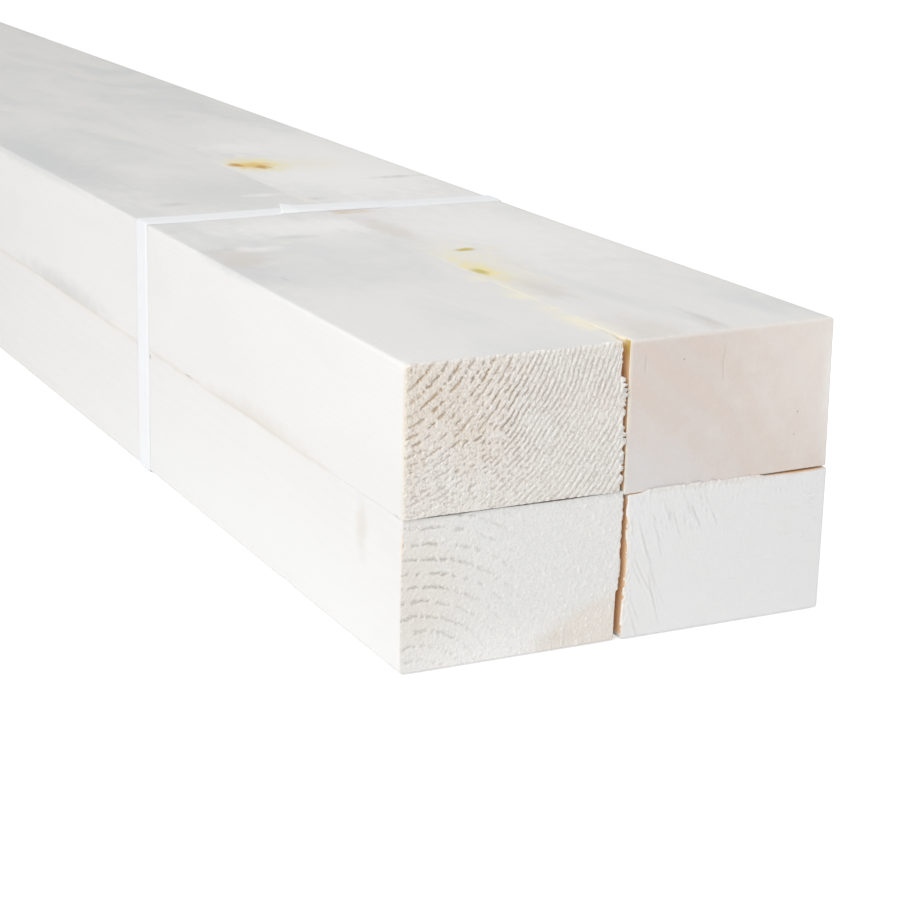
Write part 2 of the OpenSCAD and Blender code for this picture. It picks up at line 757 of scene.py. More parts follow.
class MeshDraft:
    """Collects the points and faces of one piece and turns them into a Blender mesh."""

    def __init__(self, masks: Sequence[str], layout: "StudMap | None" = None) -> None:
        """Starts an empty draft.

        Args:
            masks: Names of the masks that its points carry.
            layout: Its texture map, if it has one.
        """
        self.layout = layout
        self.points: list[Array] = []
        self.masks: dict[str, list[Array]] = {name: [] for name in masks}
        self.faces: list[Array] = []
        self.places: list[Array] = []
        self.total = 0

    def add_points(self, points: Array, **masks: Array) -> Array:
        """Adds points.

        Args:
            points: Places in mm in the row frame, in any shape with 3 numbers last.
            **masks: Levels from 0 to 1 for each point. A mask left out is 0.

        Returns:
            The points' numbers, in the shape of the points.
        """
        shape = points.shape[:-1]
        numbers = np.arange(self.total, self.total + math.prod(shape)).reshape(shape)
        self.total += numbers.size
        self.points.append(points.reshape(-1, 3))
        for name, levels in self.masks.items():
            levels.append(np.broadcast_to(masks.get(name, 0.0), shape).ravel())
        return numbers

    def add_faces(self, corners: Array, places: Array | None = None) -> None:
        """Adds faces that have the same number of corners.

        Args:
            corners: The corners' numbers, one row per face.
            places: The corners' places on the texture map, or None for a piece without one.
        """
        self.faces.append(corners)
        if places is not None:
            self.places.append(places.reshape(-1, 2))

    def to_object(self, name: str) -> bpy.types.Object:
        """Makes the mesh and its object.

        Args:
            name: Name of the piece.

        Returns:
            The new object, shaded smooth.
        """
        mesh = bpy.data.meshes.new(name)
        mesh.vertices.add(self.total)
        mesh.vertices.foreach_set("co", np.concatenate(self.points).ravel() * MM)
        corners = np.concatenate([f.ravel() for f in self.faces])
        counts = np.concatenate([np.full(len(f), f.shape[1]) for f in self.faces])
        mesh.loops.add(len(corners))
        mesh.loops.foreach_set("vertex_index", corners)
        mesh.polygons.add(len(counts))
        mesh.polygons.foreach_set("loop_start", np.cumsum(counts) - counts)
        mesh.polygons.foreach_set("use_smooth", np.ones(len(counts), bool))
        if self.layout:
            layer = mesh.uv_layers.new(name=self.layout.NAME)
            layer.uv.foreach_set("vector", np.concatenate(self.places).ravel())
        for mask, levels in self.masks.items():
            attribute = mesh.attributes.new(mask, "FLOAT", "POINT")
            attribute.data.foreach_set("value", np.concatenate(levels))
        mesh.update(calc_edges=True)
        mesh.validate()
        piece = bpy.data.objects.new(name, mesh)
        bpy.context.scene.collection.objects.link(piece)
        return piece


def zip_rings(near: Array, near_at: Array, far: Array, far_at: Array) -> tuple[Array, Array, Array]:
    """Joins two closed rings that have different numbers of points by triangles.

    Args:
        near: Numbers of the first ring's points, with the first one repeated at the end.
        near_at: Their places round the section, rising from 0 to 4.
        far: Numbers of the second ring's points, closed the same way.
        far_at: Their places round the section.

    Returns:
        The triangles, their corners' places round the section, and whether each is on the second ring.
    """
    i = j = 0
    faces, at, second = [], [], []
    while i < len(near) - 1 or j < len(far) - 1:
        step_near = j == len(far) - 1 or (i < len(near) - 1 and near_at[i + 1] <= far_at[j + 1])
        if step_near:
            faces.append((near[i], far[j], near[i + 1]))
            at.append((near_at[i], far_at[j], near_at[i + 1]))
            i += 1
        else:
            faces.append((near[i], far[j], far[j + 1]))
            at.append((near_at[i], far_at[j], far_at[j + 1]))
            j += 1
        second.append((False, True, not step_near))
    return np.array(faces), np.array(at), np.array(second)


@dataclass(frozen=True)
class StudMap:
    """Lays a stud's faces out on its texture map, with the front end and the near sides enlarged.

    Attributes:
        width, height: Size of the section.
        length: Length of the stud.
    """

    width: float
    height: float
    length: float

    NAME = "OFBake"
    NEAR = 450.0
    NEAR_SHARE = 0.5
    STRIPS = (0.41, 0.995)
    MARGIN = 0.006
    FRONT_SCALE = 0.0083
    REAR_SCALE = 0.0053
    REAR_CORNER = (0.61, 0.01)
    FRONT_CORNER = (0.008, 0.01)

    def sides(self, at: Array, depth: Array, side: Array) -> Array:
        """Places of points on the long sides.

        Args:
            at: Places round the section, from 0 to 4.
            depth: Distances from the front end.
            side: Number of the side to which each face belongs.

        Returns:
            Two coordinates from 0 to 1 for each point.
        """
        spans = np.array([self.width, self.height] * 2)
        room = self.STRIPS[1] - self.STRIPS[0] - self.MARGIN * len(spans)
        heights = spans / spans.sum() * room
        starts = self.STRIPS[0] + np.concatenate([[0], np.cumsum(heights + self.MARGIN)[:-1]])
        along = np.where(
            depth < self.NEAR,
            depth / self.NEAR * self.NEAR_SHARE,
            self.NEAR_SHARE + (depth - self.NEAR) / (self.length - self.NEAR) * (1 - self.NEAR_SHARE),
        )
        inset = self.MARGIN + (1 - 2 * self.MARGIN) * along
        return np.stack([inset, starts[side] + (at - side) * heights[side]], -1)

    def end(self, u: Array, v: Array, rear: bool) -> Array:
        """Places on the map, from 0 to 1, of points across and up the front or the rear end."""
        scale, corner = (self.REAR_SCALE, self.REAR_CORNER) if rear else (self.FRONT_SCALE, self.FRONT_CORNER)
        return np.stack([corner[0] + u * scale, corner[1] + v * scale], -1)


@dataclass
class Framed:
    """A piece that takes the place of one of the frame's solids.

    Attributes:
        node: Name of the solid.
        low: Lowest corner of the solid's box.
        high: Highest corner of that box.
    """

    node: str
    low: Array = field(init=False)
    high: Array = field(init=False)

    SLOT = ""

    def __post_init__(self) -> None:
        """Takes its place and size from the frame."""
        low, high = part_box(self.node)
        self.low, self.high = np.array(low) / MM, np.array(high) / MM

    def dress(self, piece: bpy.types.Object, material: bpy.types.Material) -> None:
        """Gives the piece its finish and ties it to the frame.

        Args:
            piece: The piece's object.
            material: Its finish.
        """
        piece.data.materials.append(material)
        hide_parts(self.node)
        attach(piece, ROOT)


def cells_of(grid: Array) -> list[Array]:
    """The four corners of each cell of a grid, in order round the cell."""
    return [grid[:-1, :-1], grid[1:, :-1], grid[1:, 1:], grid[:-1, 1:]]


@dataclass
class Stud(Framed):
    """One planed stud: a closed mesh with a detailed front end and worn edges.

    Attributes:
        rings: Its growth rings.
        front: How its front end is sawn.
        rear: How its rear end is sawn.
        gap_side: Side that faces the gap between the columns.
        sawn: Colour of its front end.
        torn: Colour deep in the torn grooves of its front end, partly the torn wood's own colour and partly
            painted shade in the hollows.
        ring_shade: How strongly the rings colour the ends.
        rim_highlight: How strong the painted highlight on the rim of its front end is, white along the top
            and pale yellow along the left.
        end_rough: How strongly the fine relief of the ends shows.
        cloudy: How much paler the clouds on its ends are.
        dusty: How much pale dust lies on its ends.
        tuft_light: How white the burrs at its ends are.
        arrises: Radii of the eased edges at which the bottom, right, top and left sides start.
        nicks: Dents that show in the photograph's view.
        hollows: Hollows next to the front end.
        warp: How its section is bent at the front end.
        edge_tints: Stretches of edge painted with a highlight, with shade or with the gap's bounce light.
        blemishes: Knots, resin and smears, and some painted highlights, painted shade and painted bounce
            light.
        seed: Seed of its noise and of the other dents.
    """

    rings: GrowthRings
    front: SawCut
    rear: SawCut
    gap_side: Side
    sawn: Colour
    torn: Colour = (168, 152, 136)
    ring_shade: float = 0.1
    rim_highlight: float = 0.0
    end_rough: float = 1.0
    cloudy: float = 0.35
    dusty: float = 0.5
    tuft_light: float = 1.0
    arrises: tuple[float, float, float, float] = (0.8, 0.8, 0.8, 0.8)
    nicks: tuple[Nick, ...] = ()
    hollows: tuple[Hollow, ...] = ()
    warp: Warp = Warp()
    edge_tints: tuple[EdgeTint, ...] = ()
    blemishes: tuple[Blemish, ...] = ()
    seed: int = 0

    SLOT = "pine"
    MASKS = ("end_grain", "torn", "stain", "burr", "amber_and_bounce", "painted_highlight", "seam", "gap_mouth_shade")
    EDGE_MASKS = ("amber_and_bounce", "painted_highlight", "seam", "gap_mouth_shade")
    FRONT_CELLS = (296, 190)
    REAR_CELLS = (84, 54)
    FRONT_RINGS = (0.12, 0.3, 0.55, 0.9, 1.35, 1.9, 2.6)
    REAR_RINGS = (0.3, 0.8, 1.6, 2.6)
    MID_STEP = 4
    MID_DEPTH = 4.2
    START_DEPTH = 7.5
    NEAR_ZONE = 450.0
    NEAR_PITCH = 2.5
    FAR_PITCH = 15.0
    ARRIS_STEPS = (0.0, 0.14, 0.47, 0.8, 1.5)
    FLAT_CELLS = (11, 7)
    WEAR_SEED = 5
    WEAR_REACH = 2.4
    RANDOM_NICKS = 26
    NICK_MARGINS = (40.0, 10.0)
    NICK_LENGTHS = (5.0, 16.0)
    NICK_DEPTHS = (0.15, 0.55)
    NICK_STEP = 1.7
    NICK_JUMP = 0.8
    DENT_POWER = 1.5
    WAVE = 0.07
    WAVE_SEED = 9
    WAVE_TURNS = 2.2
    WAVE_START = 8.0
    WAVE_STEP = 70.0
    WAVE_ZONE = (3.0, 30.0)
    HOLLOW_REACH = 3.0
    GAP_CLOSING = 0.63
    CLOSING_ZONE = (0.0, 45.0)
    AMBER_ZONE = (5.0, 13.0)
    AMBER_REST = 0.1
    AMBER_RIM = (-2.0, -0.7)
    TINT_SEED = 70
    TINT_STEP = 9.0
    TINT_TURNS = 3.0
    TINT_FALL = (0.2, 1.0)
    TINT_RANGE = (0.1, 0.6)
    RIM_ZONE = (0.28, 1.4)
    TUFT_RISE = 0.3
    TUFT_SHARE = 0.85
    FLAKE_POWER = 1.4

    @property
    def size(self) -> Array:
        """Width, length and height."""
        return self.high - self.low

    def square(self, at: Array) -> tuple[Array, Array]:
        """Walks round the section without its easing.

        Args:
            at: Places round the section, 0 to 4, where each side is 1 long.

        Returns:
            Places across and up the section.
        """
        width, _, height = self.size
        side = np.minimum(np.floor(at), WALK - 1)
        share = at - side
        sides = [side == Side.BOTTOM, side == Side.RIGHT, side == Side.TOP]
        u = np.select(sides, [share * width, width, (1 - share) * width], 0.0)
        v = np.select(sides, [0.0, share * height, height], (1 - share) * height)
        return u, v

    def eased(self, u: Array, v: Array) -> tuple[Array, Array]:
        """Moves points of the square section onto the section with eased edges.

        Args:
            u, v: Places across and up the section.

        Returns:
            The moved places.
        """
        for corner, (cu, cv, inward_u, inward_v) in enumerate(self.corners()):
            radius = self.arrises[corner]
            a = radius - (u - cu) * inward_u
            b = radius - (v - cv) * inward_v
            inside = (a > 0) & (b > 0)
            scale = np.where(inside, np.maximum(a, b) / np.maximum(np.hypot(a, b), TINY), 1)
            u = np.where(inside, cu + inward_u * (radius - a * scale), u)
            v = np.where(inside, cv + inward_v * (radius - b * scale), v)
        return u, v

    def corners(self) -> list[tuple[float, float, int, int]]:
        """Corner at which each side starts, and the directions that lead inwards from it."""
        width, _, height = self.size
        return [(0, 0, 1, 1), (width, 0, -1, 1), (width, height, -1, -1), (0, height, 1, -1)]

    def all_nicks(self) -> list[Nick]:
        """Lists the dents.

        Returns:
            The stated ones, and small ones spread at random over all edges.
        """
        draw = np.random.default_rng(self.seed)
        nicks = list(self.nicks)
        first, last = self.NICK_MARGINS[0], self.size[1] - self.NICK_MARGINS[1]
        for _ in range(self.RANDOM_NICKS):
            corner = Side(int(draw.integers(0, len(Side))))
            place, length = draw.uniform(first, last), draw.uniform(*self.NICK_LENGTHS)
            nicks.append(Nick(corner, place, length, draw.uniform(*self.NICK_DEPTHS)))
        return nicks

    def worn(self, u: Array, v: Array, depth: Array) -> tuple[Array, Array]:
        """Pushes the edges in where they are dented.

        Args:
            u, v: Places across and up the section.
            depth: Distances from the front end.

        Returns:
            The moved places.
        """
        u, v, depth = np.broadcast_arrays(u, v, depth)
        noise = Noise(self.seed + self.WEAR_SEED)
        push_u, push_v = np.zeros(u.shape), np.zeros(u.shape)
        corners = self.corners()
        for nick in self.all_nicks():
            near = np.abs(depth - nick.place) < nick.length / 2
            if not near.any():
                continue
            cu, cv, inward_u, inward_v = corners[nick.corner]
            share = (depth - nick.place) / nick.length * 2
            jumps = 1 + nick.rough * self.NICK_JUMP * (noise.at(depth / self.NICK_STEP, nick.place) - 0.5)
            dent = np.clip(1 - share**2, 0, 1) ** self.DENT_POWER * jumps
            hold = np.clip(1 - np.hypot(u - cu, v - cv) / self.WEAR_REACH, 0, 1) * near
            push = nick.depth * dent * hold * math.sqrt(0.5)
            push_u += inward_u * push
            push_v += inward_v * push
        for hollow in self.hollows:
            off, share = from_side(hollow.side, u, v, self.size[0], self.size[2])
            window = ease(share, hollow.start - hollow.slope, hollow.start + hollow.slope)
            window = window * (1 - ease(share, hollow.stop - hollow.slope, hollow.stop + hollow.slope))
            hold = np.clip(1 - off / self.HOLLOW_REACH, 0, 1) * (1 - ease(depth, 0, hollow.taper)) * window
            push_u -= OUTWARD[hollow.side][0] * hollow.depth * hold
            push_v -= OUTWARD[hollow.side][1] * hollow.depth * hold
        move_u, move_v = self.warp.moves(u / self.size[0], v / self.size[2], depth)
        return u + push_u + move_u + self.closing(u, depth), v + push_v + move_v

    def closing(self, u: Array, depth: Array) -> Array:
        """How far points move towards the gap, which the straps press shut between the ends.

        Args:
            u: Places across the section.
            depth: Distances from the front end.

        Returns:
            Moves along X.
        """
        share = u / self.size[0]
        move = share if self.gap_side == Side.RIGHT else share - 1
        tight = ease(depth, *self.CLOSING_ZONE) * ease(self.size[1] - depth, *self.CLOSING_ZONE)
        return self.GAP_CLOSING * move * tight

    def world(self, u: Array, v: Array, depth: Array) -> Array:
        """Places of points that are given across, up and along the stud."""
        u, v, depth = np.broadcast_arrays(u, v, depth)
        return self.low + np.stack([u, depth, v], -1)

    def amber_and_bounce(self, at: Array, depth: Array) -> Array:
        """How much of the gap's warm colour shows on the long sides: partly the wood's own warmer colour
        there, partly painted bounce light of the gap.

        Args:
            at: Places round the section, from 0 to 4.
            depth: Distances from the front end.

        Returns:
            A level from 0 to 1 for each point.
        """
        at, depth = np.broadcast_arrays(at, depth)
        span = self.size[2] if self.gap_side in (Side.LEFT, Side.RIGHT) else self.size[0]
        middle = self.gap_side + 0.5
        off = (np.abs(at - middle) - 0.5) * span
        near = 1 - ease(np.minimum(depth, self.size[1] - depth), *self.AMBER_ZONE)
        return (1 - ease(off, *self.AMBER_RIM)) * (self.AMBER_REST + (1 - self.AMBER_REST) * near)

    def edge_tint(self, mask: str, at: Array, depth: Array) -> Array:
        """How strong one of the edges' painted highlights, shades or bounce light is.

        Args:
            mask: Name of its mask.
            at: Places round the section, from 0 to 4.
            depth: Distances from the front end.

        Returns:
            A level from 0 to 1 for each point.
        """
        level = np.zeros(np.broadcast_shapes(at.shape, depth.shape))
        for tint in (t for t in self.edge_tints if t.mask == mask):
            ahead = (at - tint.corner + WALK / 2) % WALK - WALK / 2
            spans = self.size[0], self.size[2]
            span = np.where(ahead >= 0, spans[tint.corner % 2], spans[(tint.corner + 1) % 2])
            noise = Noise(self.seed + self.TINT_SEED)
            patchy = noise.layered(depth / self.TINT_STEP, at * self.TINT_TURNS, 2)
            window = ease(depth, tint.start, tint.start + tint.fade[0])
            window = window * (1 - ease(depth, tint.stop - tint.fade[1], tint.stop))
            off = np.abs(ahead) * span / np.where(ahead < 0, *tint.reach)
            here = tint.level * window * (1 - ease(off, *self.TINT_FALL))
            level = np.maximum(level, here * ease(patchy, *self.TINT_RANGE))
        return level

    def ring_at(self, flats: Cells) -> Array:
        """Places of the points of a plain ring, close together at the eased edges.

        Args:
            flats: Number of cells on the flat of a broad and of a narrow side.

        Returns:
            Places round the section, rising from 0 to 4, with the last one closing the ring.
        """
        places: list[Array] = []
        for side in Side:
            span, cells = (self.size[0], flats[0]) if side % 2 == 0 else (self.size[2], flats[1])
            edge = np.array(self.ARRIS_STEPS)
            flat = np.linspace(edge[-1], span - edge[-1], cells + 1)[1:-1]
            places.append(side + np.concatenate([edge, flat, span - edge[:0:-1]]) / span)
        return np.append(np.concatenate(places), WALK)

    def add_ring(
        self, draft: MeshDraft, last: Ring, at: Array, depth: Array, lift: Array | float = 0.0
    ) -> Ring:
        """Adds one ring of points on the long sides, and the faces between it and the last one.

        Args:
            draft: Draft to add to.
            last: Ring before it, as numbers, places round the section and depths.
            at: Places round the section, with the closing one last.
            depth: Distance of each point from the front end.
            lift: How far each point, as part of a burr, stands out from its side.

        Returns:
            The new ring, in the same form.
        """
        open_at, deep = at[:-1], depth[:-1]
        lift = np.broadcast_to(lift, at.shape)[:-1]
        outward = np.array([OUTWARD[Side(s)] for s in np.floor(open_at).astype(int)], float)
        noise = Noise(self.seed + self.WAVE_SEED)
        wave = noise.layered(open_at * self.WAVE_TURNS + self.WAVE_START, deep / self.WAVE_STEP) - 0.5
        wave = wave * ease(deep, *self.WAVE_ZONE) * ease(self.size[1] - deep, *self.WAVE_ZONE)
        rise = lift + np.minimum(2 * self.WAVE * wave, 0)
        u, v = self.worn(*self.eased(*self.square(open_at)), deep)
        points = self.world(u + outward[:, 0] * rise, v + outward[:, 1] * rise, deep)
        # The edge masks carry painted highlight, painted shade along seams and in the gap's mouth, and the
        # gap's painted bounce light
        tints = {mask: self.edge_tint(mask, open_at, deep) for mask in self.EDGE_MASKS}
        tints["amber_and_bounce"] = np.maximum(tints["amber_and_bounce"], self.amber_and_bounce(open_at, deep))
        numbers = draft.add_points(points, burr=self.tuft_tint(lift), **tints)
        ring = np.append(numbers, numbers[0]), at, depth
        self.join(draft, last, ring)
        return ring

    def tuft_tint(self, lift: Array) -> Array:
        """How white fibres are that stand out so far."""
        return self.tuft_light * np.minimum(lift / self.TUFT_RISE, 1)

    def join(self, draft: MeshDraft, near: Ring, far: Ring) -> None:
        """Adds the faces between two rings, each given as numbers, places round the section and depths.

        Args:
            draft: Draft to add to.
            near: The ring nearer to the front.
            far: The ring farther from the front.
        """
        (a, a_at, a_depth), (b, b_at, b_depth) = near, far
        if len(a) == len(b):
            faces = np.stack([a[:-1], b[:-1], b[1:], a[1:]], -1)
            at = np.stack([a_at[:-1], b_at[:-1], b_at[1:], a_at[1:]], -1)
            depth = np.stack([a_depth[:-1], b_depth[:-1], b_depth[1:], a_depth[1:]], -1)
        else:
            faces, at, second = zip_rings(a, a_at, b, b_at)
            depth = np.where(second, np.interp(at, b_at, b_depth), np.interp(at, a_at, a_depth))
        side = np.minimum(np.floor(at.mean(1)), WALK - 1).astype(int)
        draft.add_faces(faces, draft.layout.sides(at, depth, np.broadcast_to(side[:, None], at.shape)))

    def end_ring_at(self, cells: Cells) -> Array:
        """Places round the section of the rim of an end's grid, with the closing one last."""
        spans = [cells[0], cells[1]] * 2
        return np.append(np.concatenate([side + np.arange(n) / n for side, n in enumerate(spans)]), WALK)

    def add_end(self, draft: MeshDraft, cut: SawCut, cells: Cells, rear: bool) -> tuple[Array, Array]:
        """Adds the grid of one sawn end.

        Args:
            draft: Draft to add to.
            cut: How the end is sawn.
            cells: Number of cells across and up.
            rear: Whether it is the rear end.

        Returns:
            Numbers of the rim's points, closed by the first one, and how far each lies below the cut.
        """
        width, length, height = self.size
        spans = zip((width, height), cells)
        u, v = np.meshgrid(*(np.linspace(0, span, count + 1) for span, count in spans), indexing="ij")
        surface = cut.relief(self.rings, u, v)
        at = self.end_ring_at(cells)
        rim = self.rim(cells)
        flat_u, flat_v = self.eased(u, v)
        lift = np.zeros_like(u)
        for side in Side:
            on_side = np.floor(at[:-1]).astype(int) == side
            lift.ravel()[rim[on_side]], _ = cut.burr_lift(side, at[:-1][on_side] - side)
        pale = np.maximum(self.tuft_tint(lift), np.minimum(surface.pale, 1))
        outward = np.zeros((*u.shape, 2))
        outward.reshape(-1, 2)[rim] = [OUTWARD[Side(s)] for s in np.floor(at[:-1]).astype(int)]
        place = length - surface.depth if rear else surface.depth
        flat_u, flat_v = self.worn(flat_u, flat_v, place)
        stand = self.TUFT_SHARE * outward * lift[..., None]
        points = self.world(flat_u + stand[..., 0], flat_v + stand[..., 1], place)
        # Painted highlight on the rim of the front end: white along the top, carried by the burr mask, and
        # pale yellow along the left.
        pale = np.maximum(pale, self.rim_highlight * (1 - ease(height - v, *self.RIM_ZONE)))
        painted_highlight = self.rim_highlight * (1 - ease(u, *self.RIM_ZONE))
        masks = {"torn": surface.torn, "stain": surface.stain, "burr": pale, "painted_highlight": painted_highlight}
        numbers = draft.add_points(points, end_grain=np.ones_like(u), **masks)
        ring, spots = cells_of(numbers), cells_of(draft.layout.end(u, v, rear))
        if rear:
            ring, spots = ring[::-1], spots[::-1]
        draft.add_faces(np.stack(ring, -1).reshape(-1, 4), np.stack(spots, 2).reshape(-1, 4, 2))
        closed = np.append(rim, rim[0])
        return numbers.ravel()[closed], surface.depth.ravel()[closed]

    def rim(self, cells: Cells) -> Array:
        """Finds the rim of an end's grid.

        Args:
            cells: Number of cells across and up.

        Returns:
            Indices into the flattened grid, in the order of the walk round the section.
        """
        across, up = cells
        grid = np.arange((across + 1) * (up + 1)).reshape(across + 1, up + 1)
        return np.concatenate([grid[:-1, 0], grid[-1, :-1], grid[:0:-1, -1], grid[0, :0:-1]])

    def build(self) -> bpy.types.Object:
        """Makes the stud's closed mesh.

        Returns:
            The object, which isn't dressed yet.
        """
        width, length, height = self.size
        draft = MeshDraft(self.MASKS, StudMap(width, height, length))
        rim, below = self.add_end(draft, self.front, self.FRONT_CELLS, rear=False)
        fine_at = self.end_ring_at(self.FRONT_CELLS)
        lift, flake = self.edge_lift(self.front, fine_at)
        last = (rim, fine_at, below)
        for depth in self.FRONT_RINGS:
            sunk = depth + below * (1 - depth / self.FRONT_RINGS[-1])
            stand = lift * np.clip(1 - depth / flake, 0, 1) ** self.FLAKE_POWER
            last = self.add_ring(draft, last, fine_at, sunk, stand)
        mid_at = np.append(fine_at[:-1][:: self.MID_STEP], WALK)
        plain_at = self.ring_at(self.FLAT_CELLS)
        near = np.arange(self.START_DEPTH, self.NEAR_ZONE, self.NEAR_PITCH)
        rear_start = length - self.MID_DEPTH
        far = np.linspace(self.NEAR_ZONE, rear_start, round((rear_start - self.NEAR_ZONE) / self.FAR_PITCH))
        for at, depth in [(mid_at, self.MID_DEPTH)] + [(plain_at, d) for d in (*near, *far)]:
            last = self.add_ring(draft, last, at, np.full(at.shape, depth))
        self.add_rear(draft, last)
        return draft.to_object(self.node + ".wood")

    def add_rear(self, draft: MeshDraft, last: Ring) -> None:
        """Adds the rear end and joins it to the last ring of the sides.

        Args:
            draft: Draft to add to.
            last: Last ring of the sides, as numbers, places round the section and depths.
        """
        length = self.size[1]
        rim, below = self.add_end(draft, self.rear, self.REAR_CELLS, rear=True)
        at = self.end_ring_at(self.REAR_CELLS)
        lift, flake = self.edge_lift(self.rear, at)
        for depth in self.REAR_RINGS[::-1]:
            sunk = length - depth - below * (1 - depth / self.REAR_RINGS[-1])
            stand = lift * np.clip(1 - depth / flake, 0, 1) ** self.FLAKE_POWER
            last = self.add_ring(draft, last, at, sunk, stand)
        self.join(draft, last, (rim, at, length - below))

    def edge_lift(self, cut: SawCut, at: Array) -> tuple[Array, Array]:
        """Lift and taper of the burrs all round an end.

        Args:
            cut: How the end is sawn.
            at: Places round the section.

        Returns:
            The lift and the depth over which it tapers off, in mm, for each place.
        """
        lift, flake = np.zeros_like(at), np.ones_like(at)
        side = np.minimum(np.floor(at), WALK - 1).astype(int)
        for number in Side:
            on_side = side == number
            lift[on_side], flake[on_side] = cut.burr_lift(number, at[on_side] - number)
        lift[-1], flake[-1] = lift[0], flake[0]
        return lift, flake


class Graph:
    """Adds nodes to one tree and links them, so that a finish reads as a list of steps."""

    def __init__(self, tree: bpy.types.NodeTree) -> None:
        """Works on this tree."""
        self.tree = tree

    def node(self, kind: str, **settings: object) -> bpy.types.Node:
        """Adds a node.

        Args:
            kind: Type of node, without its ShaderNode prefix.
            **settings: Properties to set on it.

        Returns:
            The new node.
        """
        made = self.tree.nodes.new("ShaderNode" + kind)
        for name, value in settings.items():
            setattr(made, name, value)
        return made

    def plug(self, target: Socket, value: Input) -> None:
        """Links a socket to another, or sets its value.

        Args:
            target: Socket to feed.
            value: Socket to link it to, or its value.
        """
        if isinstance(value, Socket):
            self.tree.links.new(value, target)
        else:
            target.default_value = value

    def math(self, operation: str, a: Input, b: Input = 0.0) -> Socket:
        """Works out one step of arithmetic.

        Args:
            operation: Blender's name of the operation.
            a: First value.
            b: Second value, where the operation takes one.

        Returns:
            The result's socket.
        """
        made = self.node("Math", operation=operation)
        self.plug(made.inputs[0], a)
        self.plug(made.inputs[1], b)
        return made.outputs[0]

    def vector(self, operation: str, a: Input, b: Input) -> Socket:
        """Works out one step of arithmetic on vectors.

        Args:
            operation: Blender's name of the operation.
            a: First vector.
            b: Second vector, or the factor of a scaling.

        Returns:
            The result's socket, a value for a length and else a vector.
        """
        made = self.node("VectorMath", operation=operation)
        self.plug(made.inputs[0], a)
        self.plug(made.inputs["Scale"] if operation == "SCALE" else made.inputs[1], b)
        return made.outputs["Value"] if operation == "LENGTH" else made.outputs["Vector"]

    def blend(self, share: Input, first: Input, second: Input, way: str = "MIX") -> Socket:
        """Blends two colours.

        Args:
            share: Share of the second colour.
            first: First colour.
            second: Second colour.
            way: Blender's name of the way to blend.

        Returns:
            The blended colour's socket.
        """
        made = self.node("Mix", data_type="RGBA", blend_type=way)
        self.plug(made.inputs[0], share)
        self.plug(made.inputs[6], first)
        self.plug(made.inputs[7], second)
        return made.outputs[2]

    def rise(self, value: Input, low: Input, high: Input, bottom: float = 0.0, top: float = 1.0) -> Socket:
        """Rises smoothly from bottom at low to top at high.

        Args:
            value: Value to read.
            low: Value at which the rise starts.
            high: Value at which it ends.
            bottom: Level before it.
            top: Level after it.

        Returns:
            The level's socket.
        """
        made = self.node("MapRange", interpolation_type="SMOOTHSTEP")
        for socket, given in zip(made.inputs, (value, low, high, bottom, top)):
            self.plug(socket, given)
        return made.outputs[0]

    def about_zero(self, level: Socket) -> Socket:
        """Stretches a level from 0 to 1 into one from -1 to 1."""
        return self.math("MULTIPLY", self.math("SUBTRACT", level, 0.5), 2.0)

    def noise(
        self, place: Socket, steps: Place, detail: float = 3.0, rough: float = 0.5, swirl: float = 0.0
    ) -> Socket:
        """Reads noise that may be stretched.

        Args:
            place: Position in mm.
            steps: Size of the noise's patches along X, Y and Z.
            detail: Number of finer layers.
            rough: Strength of the finer layers.
            swirl: How much the noise bends itself.

        Returns:
            The level's socket.
        """
        made = self.node("TexNoise")
        self.plug(made.inputs["Vector"], self.vector("DIVIDE", place, steps))
        for name, given in {"Scale": 1.0, "Detail": detail, "Roughness": rough, "Distortion": swirl}.items():
            made.inputs[name].default_value = given
        return made.outputs[0]

    def bump(self, height: Socket, distance: float, strength: float) -> Socket:
        """Turns a relief into a normal.

        Args:
            height: Level of the relief.
            distance: How high a level of 1 stands.
            strength: How strongly it shows.

        Returns:
            The normal's socket.
        """
        made = self.node("Bump")
        made.inputs["Distance"].default_value = distance * MM
        made.inputs["Strength"].default_value = strength
        self.plug(made.inputs["Height"], height)
        return made.outputs[0]

    def mask(self, name: str) -> Socket:
        """Reads one of the mesh's masks."""
        return self.node("Attribute", attribute_name=name).outputs["Fac"]

    def position(self) -> Socket:
        """Position in the row frame, in mm."""
        return self.vector("SCALE", self.node("TexCoord").outputs["Object"], 1 / MM)

    def use(self, group: bpy.types.NodeTree, **values: Input) -> dict[str, Socket]:
        """Places a node group.

        Args:
            group: The group's tree.
            **values: What goes into its inputs, by name.

        Returns:
            Its outputs by name.
        """
        made = self.node("Group", node_tree=group)
        for name, value in values.items():
            self.plug(made.inputs[name], value)
        return {socket.name: socket for socket in made.outputs}


def new_material(name: str) -> tuple[bpy.types.Material, Graph, bpy.types.Node]:
    """Makes a material.

    Args:
        name: Its name.

    Returns:
        The material, its graph and its shader.
    """
    made = bpy.data.materials.new(name)
    made.use_nodes = True
    return made, Graph(made.node_tree), made.node_tree.nodes["Principled BSDF"]


